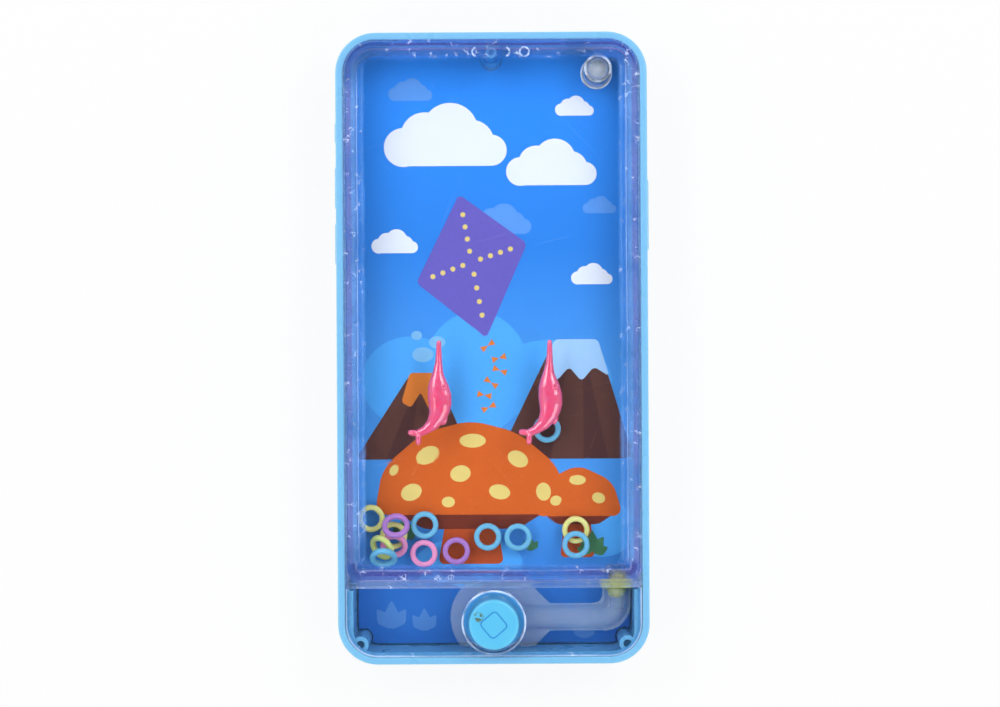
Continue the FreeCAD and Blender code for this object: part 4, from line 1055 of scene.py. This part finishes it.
def press(name, colour, films):
    """Joins films of one colour into one printed layer."""
    clear_selection()
    for piece in films:
        piece.select_set(True)
    bpy.context.view_layer.objects.active = films[0]
    bpy.ops.object.join()
    layer = named(name)
    dress(layer, INKS[colour], "game")
    return layer


def cloud(x, y, size, layer):
    """A puffy cloud: discs in a row on a flat-bottomed bar."""
    puffs = [(-1.0, 0.0, 0.50), (-0.45, 0.28, 0.62), (0.2, 0.42, 0.72), (0.75, 0.12, 0.58),
             (1.25, -0.08, 0.40)]
    films = []
    for index, (across, up, share) in enumerate(puffs):
        radius = share * size
        films.append(disc(x + across * size, y + up * size, radius, radius, layer + index * 0.05))
    low = y - 0.48 * size
    bar = [(x - 1.3 * size, low), (x + 1.45 * size, low), (x + 1.45 * size, y), (x - 1.3 * size, y)]
    films.append(film(bar, layer + 0.3, 0.4 * size))
    return films


# %% Sky: clouds and a kite
press("print_clouds", "cloud", cloud(-12, 49, 9.5, 2) + cloud(14, 43, 7.0, 2.1) + cloud(-24, 25, 3.6, 2)
      + cloud(24, 17, 3.2, 2) + cloud(20, 58, 3.0, 2))
press("print_pale_clouds", "pale_cloud",
      cloud(-20, 62, 3.4, 1) + cloud(2, 30, 4.6, 1) + cloud(26, 34, 2.6, 1))
kite = [(-8, 37.5), (8.5, 25.5), (-1.5, 2.5), (-18.5, 16.0)]
press("print_kite", "violet", [film(kite, 4, 1.2)])
kite_middle = Vector((-5.0, 21.0))
dots = []
for corner in kite:
    for share in (0.16, 0.34, 0.52, 0.70):
        spot = kite_middle.lerp(Vector(corner), share)
        dots.append(disc(spot.x, spot.y, 0.62, 0.62, 5))
press("print_kite_dots", "spot", dots)
bows = []
for step in range(6):
    x = -1.2 + 2.6 * math.sin(step * 1.1) + step * 0.4
    y = 0.6 - step * 3.0
    lean = 0.6 * math.cos(step * 1.1)
    for side in (-1, 1):
        tip = (x + side * 1.7 * math.cos(lean), y + side * 1.7 * math.sin(lean))
        across = (0.8 * math.sin(lean), 0.8 * math.cos(lean))
        ends = [(tip[0] - across[0], tip[1] + across[1]), (tip[0] + across[0], tip[1] - across[1])]
        bows.append(film([(x, y), *ends], 5.2 + side * 0.1))
press("print_bows", "lava", bows)

# %% Land: hills, peaks, dune and plants
HILLS = ((-20, -8, 12, 11, 1.4), (-4, -6, 13, 15, 1.45), (14, -8, 15, 10, 1.5), (26, -44, 9, 7, 1.4),
         (-6, -52, 13, 6, 1.45))
HAZE = ((-17, -1.5, 2.6, 1.8, 2.0), (-13.5, 1.5, 2.0, 1.5, 2.1), (-18.5, 3.2, 1.3, 1.1, 2.0))
press("print_hills", "hill", [disc(*hill) for hill in HILLS])
press("print_peaks", "rock", [film([(-33.6, -27), (-5, -27), (-14, -6), (-20, -6)], 2.6, 2.0),
                              film([(1, -27), (34.2, -27), (25.5, 2), (15, 2)], 2.5, 2.6)])
press("print_slopes", "dark_rock", [film([(-26, -27), (-20, -27), (-18.2, -9), (-18.8, -9)], 3.0, 0.3),
                                    film([(8, -27), (14, -27), (18, -4), (17, -4)], 3.0, 0.3),
                                    film([(22, -27), (28, -27), (23, -4), (22, -4)], 3.0, 0.3)])
press("print_snow", "snow", [film([(12.2, -7), (15, 2.1), (25.6, 2.1), (28.4, -7), (24.6, -4.6), (21.6, -8.2),
                                   (18.6, -4.6), (15.6, -8.0)], 3.2, 1.1)])
press("print_lava", "lava", [film([(-22.3, -13), (-20.2, -5.9), (-13.9, -5.9), (-11.4, -12.6), (-13.6, -10.8),
                                   (-15.6, -14.8), (-17.6, -10.6), (-20.0, -14.4)], 3.2, 0.8)])
press("print_haze", "haze", [disc(*puff) for puff in HAZE])
press("print_stalks", "stalk", [film([(-11, -38), (0, -38), (2.5, -52.5), (-13.5, -52.5)], 3.4, 1.6),
                                 film([(17.6, -39), (23.2, -39), (24.6, -51), (16.2, -51)], 3.3, 1.2)])
press("print_gills", "gills", [film([(-25, -39), (14, -39), (6, -44), (-17, -44)], 3.8, 1.6),
                               film([(11.5, -40), (30, -40), (25.6, -43), (15.6, -43)], 3.7, 1.0)])
WIDE_CAP = [(-29, -40.5), (18, -40.5), (16, -29), (6, -20.5), (-5.5, -17.5), (-17, -20.5), (-27, -29)]
SMALL_CAP = [(9.6, -41), (31.6, -41), (29, -32.5), (20.6, -28.5), (12.2, -32.5)]
CAP_SPOTS = (
    (-16, -26, 3.0, 2.0, 0.5), (-5, -22.5, 3.2, 1.7, 0.0), (6, -27, 2.6, 1.9, -0.5),
    (-8, -30.5, 2.5, 2.0, 0.2), (1.5, -35, 2.6, 1.8, -0.2), (-20, -35, 2.6, 2.0, 0.4),
    (12.2, -35, 1.8, 2.2, 0.1), (-11, -37.4, 1.6, 1.3, 0.0), (20.5, -32.2, 2.0, 1.2, 0.0),
    (15.2, -37.2, 1.4, 1.2, 0.3), (25.6, -36.6, 1.6, 1.3, -0.3), (-24.2, -29.6, 1.0, 1.4, -0.5))
press("print_caps", "cap", [film(WIDE_CAP, 4.2, 3.6), film(SMALL_CAP, 4.1, 2.6)])
press("print_spots", "spot", [disc(x, y, wide, tall, 4.8, turn) for x, y, wide, tall, turn in CAP_SPOTS])


def blades(x, y, size, layer, count=3):
    """A tuft: pointed leaves that fan out from one foot."""
    films = []
    for index in range(count):
        lean = (index - (count - 1) / 2) * 0.62
        top = Vector((math.sin(lean), math.cos(lean))) * size * (1.15 - 0.25 * abs(lean))
        across = Vector((math.cos(lean), -math.sin(lean))) * size * 0.30
        middle = top * 0.5
        outline = [(x, y), (x + middle.x + across.x, y + middle.y + across.y), (x + top.x, y + top.y),
                   (x + middle.x - across.x, y + middle.y - across.y)]
        films.append(film(outline, layer + index * 0.1, 0.12 * size))
    return films


press("print_grass", "grass",
      blades(-22, -46, 4.4, 5, 5) + blades(24, -50, 5.0, 5, 5) + blades(9, -49.5, 3.2, 5))
press("print_leaves", "leaf",
      blades(-25, -68.5, 6.4, 1) + blades(-17, -69, 5.2, 1.4) + blades(22, -71, 4.6, 1))

# %% [markdown]
# ## The pump
# The button is a turned cap: a profile spun about its axis, with a rounded square cut
# into its face. Under it lies a bladder of milky plastic, blown in one piece: a bulb, a
# duct and an elbow, and the flat seam of its mould all round. A soft seal joins it to the
# tank, and a clear nozzle goes through the wall. The fill plug sits in the spout, and a
# ring of painted light lies over the shade in the bore round it.

# %% Button
CAP = [(0, 12.4), (2.4, 12.4), (2.4, 19.2), (4.7, 19.2), (5.1, 12.4), (7.15, 12.4), (7.15, 13.6),
       (6.3, 13.62), (6.28, 15.6), (5.86, 20.0), (5.72, 20.35), (5.45, 20.54), (5.1, BUTTON_TOP),
       (0, BUTTON_TOP)]
MARK_HALF = 2.55
MARK_LINE = 0.3
button = lathe("pump_button_dressed", CAP, BUTTON, 96)
side = (-MARK_HALF, MARK_HALF)
mark = slab("mark", side, side, (BUTTON_TOP - 0.22, BUTTON_TOP + 1), 1.1, 1.1)
side = (-MARK_HALF + MARK_LINE, MARK_HALF - MARK_LINE)
cut(mark, slab("mark_inside", side, side, (10, 30), 0.8, 0.8))
swing(mark, math.radians(-40), "Z", (*BUTTON, 0))
cut(button, settle(mark))
dress(settle(button), BUTTON_BLUE, "button", ["pump_button"])


# %% Milky plastics
def milky(name, colour, alpha, roughness=0.4, sink=0.3):
    """A plastic that hides only part of what is behind it, more where it is mottled."""
    material, tree, shader, place = start_material(name)
    grain = grouped(tree, GRAIN, place, Wave=260.0, Grain=3000.0)
    mottled = tuple(v * 0.86 for v in colour[:3]) + (1,)
    tree.fill(shader, {"Base Color": tree.mix(colour, mottled, grain.outputs["Mottle"])})
    veil = tree.remap(grain.outputs["Mottle"], 0.0, 1.0, alpha - 0.08, alpha + 0.08)
    tree.fill(shader, {"Alpha": veil})
    rough = tree.plus(tree.times(grain.outputs["Height"], 0.15), roughness - 0.07)
    tree.fill(shader, {"Roughness": rough})
    tree.fill(shader, {"Normal": tree.bump(grain.outputs["Height"], 0.2)})
    tree.fill(shader, {"Subsurface Weight": sink, "Subsurface Scale": 0.001})
    return material


BLADDER_MILK = milky("bladder_milk", tint(178, 198, 220), 0.25)
SEAL_LIME = milky("seal_lime", tint(190, 198, 44), 0.68)
PLUG_WHITE = milky("plug_milk", tint(182, 194, 212), 0.88)
print("milky plastics:", BLADDER_MILK.name, SEAL_LIME.name, PLUG_WHITE.name)

# %% Bladder
SEAL_BOTTOM = -57.6
SEAM = (7.3, 8.1)
ELBOW = 4.4
DUCT = 2.9
TOOTH = 0.31
SEAM_SIDES = 216


def toothed(start, end, depth=0.27):
    """Points along a straight run of the seam, every other one set back inwards."""
    start, end = Vector(start), Vector(end)
    along = end - start
    count = 2 * round(along.length / TOOTH / 2)
    inwards = Vector((-along.y, along.x)).normalized() * depth
    return [tuple(start + along * step / count + inwards * (step % 2)) for step in range(count)]


def flat_outline(name, corners, up, rounded=()):
    """A plate through given corners, in mm, some of them rounded."""
    piece = traced(name, corners, up[0])
    choose(piece, "EDIT")
    for spot, radius in rounded:
        at_spot = lambda spots: (spots[0].to_2d() - Vector(spot)).length < 0.01
        round_off(piece, "VERT", at_spot, radius, CORNER_STEPS)
    bpy.ops.mesh.select_all(**ALL)
    pull(z=up[1] - up[0])
    return settle(piece)


seam = rod("seam_disc", 10.6, BUTTON, SEAM, SEAM_SIDES)
choose(seam, "EDIT")
turns = SEAM_SIDES / (2 * math.pi)
pick(seam, "VERT", lambda spots: round(math.atan2(spots[0].y - BUTTON[1], spots[0].x) * turns) % 2 == 1)
bpy.ops.transform.resize(value=(0.975, 0.975, 1), center_override=(0, BUTTON[1] * MM, 0))
settle(seam)
cut(seam, slab("below", (-20, 20), (-80, -71.9), (0, 20)))
cut(seam, slab("above", (-20, 20), (-56.5, -45), (0, 20)))
corners = [(0, -71.9), (9.7, -71.9), *toothed((13.4, -68.2), (26.4, -68.2)), (26.4, -68.2), (32.9, -68.2),
           (32.9, SEAL_BOTTOM), (26.1, SEAL_BOTTOM), (26.1, -61.4), *toothed((24.0, -61.4), (13.4, -61.4)),
           (13.4, -61.4), (8.5, -56.5), (0, -56.5)]
rest = flat_outline("seam_rest", corners, SEAM, [((32.9, -68.2), 6.4), ((26.1, -61.4), 2.0)])
print("seam outline:", len(corners), "corners")

# %% Bulb and duct
clear_selection()
bpy.ops.mesh.primitive_uv_sphere_add(segments=64, ring_count=32, radius=1)
bulb = opened("bulb")
stretch(7.2, 6.85, 4.3)
move(*BUTTON, PUMP_Z)
clear_selection()
bpy.ops.mesh.primitive_circle_add(vertices=32, radius=DUCT * MM, fill_type="NGON")
duct = named("duct")
swing(duct, math.pi / 2, "Y", (2, BUTTON[1], PUMP_Z))
pull(x=NECK_X - ELBOW - 2)
turn_centre = ((NECK_X - ELBOW) * MM, (BUTTON[1] + ELBOW) * MM, PUMP_Z * MM)
bpy.ops.mesh.spin(steps=14, angle=-math.pi / 2, center=turn_centre, axis=(0, 0, 1))
pull(y=SEAL_BOTTOM - BUTTON[1] - ELBOW)
top = max(vertex.co.y for vertex in bmesh.from_edit_mesh(duct.data).verts) / MM
settle(duct)
print("the duct ends at", round(top, 2), "and the seal is at", SEAL_BOTTOM)


# %% One blown skin
def melt(parts, name, voxel, passes):
    """Joins parts that overlap and remeshes them into one closed skin."""
    clear_selection()
    for part in parts:
        part.select_set(True)
    bpy.context.view_layer.objects.active = parts[0]
    bpy.ops.object.join()
    piece = named(name)
    modify(piece, "REMESH", mode="VOXEL", voxel_size=voxel * MM)
    return modify(piece, "SMOOTH", iterations=passes)


bladder = melt([seam, rest, bulb, duct], "pump_bladder_dressed", 0.13, 2)
dress(bladder, BLADDER_MILK, "game", ["pump_bladder"], 60)

# %% Seal
TANK_SIDE = TANK_BOTTOM - 0.02
DOME = [(0, -2.6), (0.9, -2.5), (1.7, -2.0), (2.2, -1.1), (2.3, 0.4), (0, 0.4)]
seal = slab("seal", (NECK_X - 3.8, NECK_X + 3.8), (SEAL_BOTTOM + 0.02, TANK_SIDE),
            (PUMP_Z - 3.4, PUMP_Z + 3.4), 0.5, 0.5)
soften(seal, 0.35, 3)
plug_in = lathe("seal_dome", DOME, (0, 0), 40)
swing(plug_in, math.pi / 2, "X", (NECK_X, SEAL_BOTTOM, PUMP_Z))
low = min(vertex.co.y for vertex in bmesh.from_edit_mesh(plug_in.data).verts) / MM
print("the dome reaches", round(low, 2), "and the block", SEAL_BOTTOM)
add(seal, settle(plug_in))
dress(settle(seal), SEAL_LIME, "game", ["inlet_seal"])

# %% Nozzle and fill plug
NOZZLE = [(0.7, 10.3), (2.75, 10.3), (2.9, 10.15), (2.9, 9.55), (2.0, 9.5), (2.0, 0), (1.3, 0), (1.3, 8.7),
          (0.7, 9.0), (0.7, 10.3)]
PLUG = [(0, 1.7), (2.2, 1.7), (2.3, 1.6), (2.3, 0.6), (2.4, 0.5), (3.2, 0.5), (3.4, 0.7), (3.4, 2.95),
        (3.3, 3.05), (2.57, 3.05), (2.5, 8.6), (2.25, 9.6), (1.6, 10.1), (0, 10.3)]
nozzle = lathe("inlet_nozzle_dressed", NOZZLE, (0, 0), 56)
swing(nozzle, math.pi / 2, "X", (NECK_X, -62.8, PUMP_Z))
top = max(vertex.co.y for vertex in bmesh.from_edit_mesh(nozzle.data).verts) / MM
print("the nozzle ends at", round(top, 2))
dress(settle(nozzle), PLATE_CLEAR, "game", ["inlet_nozzle"])
plug = lathe("fill_plug_dressed", PLUG, SPOUT, 64)
dress(plug, PLUG_WHITE, "plug", ["fill_plug"])
# A ring of painted light over the shade in the spout's bore.
bore = tube("bore_painted_light", 2.56, 2.05, SPOUT, (11.4, 11.45))
dress(settle(bore), milky("bore_painted_light_film", tint(132, 152, 190), 0.55), "game")

# %% [markdown]
# ## The rings
# Fourteen small tori of matt plastic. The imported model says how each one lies: its middle
# is the middle of the solid's vertices, and its axis is the direction in which they
# spread least. One ring is modelled, with a flat where its runner was cut off, and copied
# to each place with a turn of its own.

# %% Ring form
RING_MIDDLE = 2.68
RING_WIDE = 1.29
RING_HIGH = 1.34
RING_ROUNDING = 0.5


def ring_frame(node):
    """The middle of a ring's solid and the direction of its axis."""
    spots = np.array([vertex.co for vertex in frame["nodes"][node].data.vertices])
    low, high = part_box(node)
    middle = (low + high) / 2
    spread = np.linalg.svd(spots - np.array(middle), full_matrices=False)[2]
    axis = Vector(spread[2])
    return middle, -axis if axis.z < 0 else axis


def make_ring(name, turn):
    """A rounded rectangle spun about the ring's axis, with a flat where its runner was."""
    clear_selection()
    bpy.ops.mesh.primitive_plane_add(size=1)
    ring = opened(name)
    stretch(RING_WIDE, RING_HIGH, 1)
    bpy.ops.mesh.bevel(offset=RING_ROUNDING * MM, segments=6, affect="VERTICES")
    swing(ring, math.pi / 2, "X", (RING_MIDDLE, 0, 0))
    bpy.ops.mesh.delete(type="ONLY_FACE")
    bpy.ops.mesh.select_all(**ALL)
    bpy.ops.mesh.spin(steps=72, angle=2 * math.pi, center=(0, 0, 0), axis=(0, 0, 1))
    settle(ring)
    choose(ring, "EDIT")
    gate = Vector((math.cos(turn), math.sin(turn)))
    if pick(ring, "VERT", lambda spots: spots[0].to_2d().dot(gate) > RING_MIDDLE + RING_WIDE / 2 - 0.06):
        bpy.ops.transform.resize(value=(0.985, 0.985, 1), center_override=(0, 0, 0))
    bpy.ops.object.mode_set(mode="OBJECT")
    return ring


RING_COLOURS = {
    "yellow": (tint(230, 228, 146), tint(220, 218, 132)),
    "lime": (tint(214, 226, 138), tint(200, 216, 124)),
    "purple": (tint(178, 126, 206), tint(166, 114, 196)),
    "blue": (tint(108, 186, 224), tint(96, 176, 218)),
    "pink": (tint(240, 156, 204), tint(232, 144, 196)),
}
RING_PLASTIC = {}
for colour, (light, deep) in RING_COLOURS.items():
    RING_PLASTIC[colour] = plastic(f"ring_{colour}", light, deep, 0.45, sink=0.25, scuffed=0.3, bump=0.25)
slots = {item["node"]: item["material_slot"] for item in frame["record"]["subparts"]}
random.seed(14)
for node in sorted(name for name in slots if name.startswith("ring_")):
    middle, axis = ring_frame(node)
    ring = make_ring(f"{node}_dressed", random.uniform(0, 2 * math.pi))
    tilt = Vector((0, 0, 1)).rotation_difference(axis).to_matrix().to_4x4()
    ring.data.transform(Matrix.Translation(middle) @ tilt)
    colour = slots[node].split("_")[1]
    dress(ring, RING_PLASTIC[colour], node, [node], 60)

# %% [markdown]
# ## The pegs
# Two little fish with long snouts, moulded in pearly pink. The body is a ring of vertices
# pulled along the fish's back and resized at every station. Flukes, fin, eye and stem are
# joined to it, and a fine remesh melts them into one moulded skin.

# %% Peg form
PEG_WIDTH = 5.9
PEG_LENGTH = 25.6
PEG_THICK = 3.2
PEG_STATIONS = ((0.00, 0.00, 0.065, 0.12), (0.00, 0.02, 0.100, 0.18), (0.00, 0.12, 0.122, 0.21),
                (-0.01, 0.21, 0.150, 0.26), (-0.04, 0.31, 0.235, 0.34), (-0.04, 0.37, 0.340, 0.42),
                (-0.03, 0.43, 0.430, 0.46), (0.02, 0.52, 0.490, 0.50), (0.04, 0.60, 0.475, 0.50),
                (0.00, 0.66, 0.430, 0.47), (-0.07, 0.71, 0.380, 0.44), (-0.29, 0.79, 0.265, 0.36),
                (-0.60, 0.845, 0.180, 0.29), (-0.84, 0.868, 0.160, 0.26))
LEFT_TIP = (-12.9, 1.9)
PEG_MIDDLE = TANK_FLOOR + 3.6 + PEG_THICK / 2


def peg_spot(share_across, share_along, tip):
    return Vector((tip[0] + share_across * PEG_WIDTH, tip[1] - share_along * PEG_LENGTH, PEG_MIDDLE))


def bead(name, middle, radii, turn=0.0):
    """A ball stretched along three axes and turned about the upright one."""
    clear_selection()
    bpy.ops.mesh.primitive_uv_sphere_add(segments=24, ring_count=14, radius=1)
    piece = opened(name)
    stretch(*radii)
    if turn:
        bpy.ops.transform.rotate(value=-turn, orient_axis="Z", center_override=(0, 0, 0))
    move(*middle)
    bpy.ops.object.mode_set(mode="OBJECT")
    return piece


def peg_body(tip):
    """Pulls a ring of vertices from the snout's tip to the tail."""
    spine = [peg_spot(a, b, tip) for a, b, _, _ in PEG_STATIONS]
    clear_selection()
    bpy.ops.mesh.primitive_circle_add(vertices=20, radius=1, fill_type="NGON")
    piece = opened("peg_body")
    bpy.ops.transform.rotate(value=math.pi / 2, orient_axis="X", center_override=(0, 0, 0))
    stretch(PEG_STATIONS[0][2] * PEG_WIDTH, 1, PEG_STATIONS[0][3] * PEG_THICK)
    move(*spine[0])
    heading = 0.0
    for index in range(1, len(spine)):
        step = spine[index] - spine[index - 1]
        pull(step.x, step.y, step.z)
        ahead = spine[min(index + 1, len(spine) - 1)] - spine[index - 1]
        wanted = math.atan2(ahead.x, -ahead.y)
        here, before = PEG_STATIONS[index], PEG_STATIONS[index - 1]
        centre = spine[index] * MM
        bpy.ops.transform.rotate(value=heading, orient_axis="Z", center_override=centre)
        grow = (here[2] / before[2], 1, here[3] / before[3])
        bpy.ops.transform.resize(value=grow, center_override=centre)
        bpy.ops.transform.rotate(value=-wanted, orient_axis="Z", center_override=centre)
        heading = wanted
    return settle(piece)


def make_peg(name, tip):
    parts = [peg_body(tip)]
    root = peg_spot(-0.84, 0.868, tip)
    for share, fat in (((-1.22, 0.862), 0.70), ((-0.86, 0.968), 0.64)):
        end = peg_spot(*share, tip)
        way = end - root
        lean = math.atan2(way.y, way.x)
        parts.append(bead("fluke", root + way * 0.5, (way.length * 0.6, fat * 1.12, 0.75), lean))
        parts.append(bead("fluke_end", root + way * 0.84, (0.72, 0.68, 0.66), lean))
    fin = peg_spot(0.22, 0.755, tip)
    parts.append(bead("fin", fin, (0.55, 1.1, 0.5), -0.5))
    eye = peg_spot(0.22, 0.435, tip)
    eye.z = PEG_MIDDLE + PEG_THICK * 0.48
    clear_selection()
    bpy.ops.mesh.primitive_torus_add(major_segments=28, minor_segments=10, major_radius=0.50 * MM,
                                     minor_radius=0.20 * MM, location=eye * MM)
    bpy.ops.object.transform_apply(location=True, rotation=True, scale=True)
    parts.append(named("eye"))
    stem_place = peg_spot(-0.16, 0.60, tip)
    parts.append(rod("stem", 1.25, (stem_place.x, stem_place.y), (TANK_FLOOR + 2.24, PEG_MIDDLE), 32))
    return melt(parts, name, 0.09, 8)


# %% Pearly pink
def pearl(name, colour, deep):
    """Swirls of mica flake: streaky colour, a metallic shimmer, a clear gloss and a painted sheen of paler
    pink at the edges.
    """
    material, tree, shader, place = start_material(name)
    swirl = tree.noise(place, 330.0, 4.0, 2.2)
    streak = tree.remap(swirl, 0.30, 0.74)
    tree.fill(shader, {"Base Color": tree.mix(deep, colour, streak)})
    tree.fill(shader, {"Roughness": tree.plus(tree.times(streak, 0.08), 0.20)})
    flake = tree.noise(place, 3000.0)
    tree.fill(shader, {"Metallic": tree.times(streak, 0.25)})
    tree.fill(shader, {"Normal": tree.bump(flake, 0.10, 0.0001)})
    # A painted sheen: paler pink where the surface is seen edge on.
    edge = tree.node("LayerWeight", {"Blend": 0.4}).outputs["Facing"]
    edge = tree.remap(edge, 0.1, 0.7, 0.0, 0.3)
    blend_in(tree, shader, tint(255, 130, 186), edge)
    tree.fill(shader, {"Coat Weight": 1.0, "Coat IOR": 2.1, "Coat Roughness": 0.14,
                       "Specular IOR Level": 0.9})
    return material


PEARL = pearl("pearl_plastic", tint(255, 94, 150), tint(250, 58, 112))
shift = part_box("right_peg")[0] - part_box("left_peg")[0]
RIGHT_TIP = (LEFT_TIP[0] + shift.x / MM, LEFT_TIP[1] + shift.y / MM)
for name, tip in (("left_peg", LEFT_TIP), ("right_peg", RIGHT_TIP)):
    dress(make_peg(f"{name}_dressed", tip), PEARL, "game", [name], 60)

# %% [markdown]
# ## Light and ground
# The floor is white paper. Four large lamps stand round the table at half height, so no
# lamp is mirrored by the flat cover. The world is bright at the horizon and dim straight
# above for the same reason, and pure white where the camera looks past the floor.

# %% Floor
clear_selection()
bpy.ops.mesh.primitive_plane_add(size=6)
floor = named("floor")
floor.location.z = -0.00002
paper, tree, shader, place = start_material("white_paper")
fibre = tree.noise(place, 900.0)
tree.fill(shader, {"Base Color": tree.mix((0.94, 0.94, 0.94, 1), (0.96, 0.96, 0.96, 1), fibre)})
shader.inputs["Roughness"].default_value = 0.9
glow = tree.node("Emission", {"Color": (1, 1, 1, 1), "Strength": 1.0})
path = tree.node("LightPath")
looked_at = tree.math("MAXIMUM", path.outputs["Is Camera Ray"], path.outputs["Is Transmission Ray"])
share = tree.times(looked_at, 0.86)
both = tree.node("MixShader", {0: share, 1: shader.outputs[0], 2: glow.outputs[0]})
link(tree, both.outputs[0], paper.node_tree.nodes["Material Output"].inputs["Surface"])
floor.data.materials.append(paper)

# %% World
world = bpy.data.worlds.new("photo_tent")
bpy.context.scene.world = world
world.use_nodes = True
tree = Tree(world.node_tree)
world.node_tree.nodes.clear()
up = tree.along(tree.node("TexCoord").outputs["Generated"], "Z")
level = tree.remap(up, 0.15, 0.80, 0.9, 0.10)
seen = tree.node("LightPath").outputs["Is Camera Ray"]
strength = tree.node("Mix", {"Factor": seen, "A": level, "B": 1.0}).outputs["Result"]
background = tree.node("Background", {"Color": (1, 1, 1, 1), "Strength": strength})
result = tree.node("OutputWorld")
link(tree, background.outputs[0], result.inputs["Surface"])

# %% Lamps
LAMP_POWER = 1.6
for index, azimuth in enumerate((40, 140, 220, 320)):
    lamp = bpy.data.objects.new(f"softbox_{index}", bpy.data.lights.new(f"softbox_{index}", "AREA"))
    bpy.context.scene.collection.objects.link(lamp)
    lamp.data.shape = "RECTANGLE"
    lamp.data.size = 0.55
    lamp.data.size_y = 0.35
    lamp.data.energy = LAMP_POWER * (1.25 if index < 2 else 0.8)
    around, up_angle = math.radians(azimuth), math.radians(48)
    lamp.location = Vector((0.8, 0, 0))
    lamp.location.rotate(Matrix.Rotation(around, 3, "Z") @ Matrix.Rotation(-up_angle, 3, "Y"))
    lamp.rotation_euler = (-lamp.location).to_track_quat("-Z", "Y").to_euler()
bpy.context.scene.view_settings.view_transform = "Standard"
print("lamps: 4 of about", LAMP_POWER, "W")
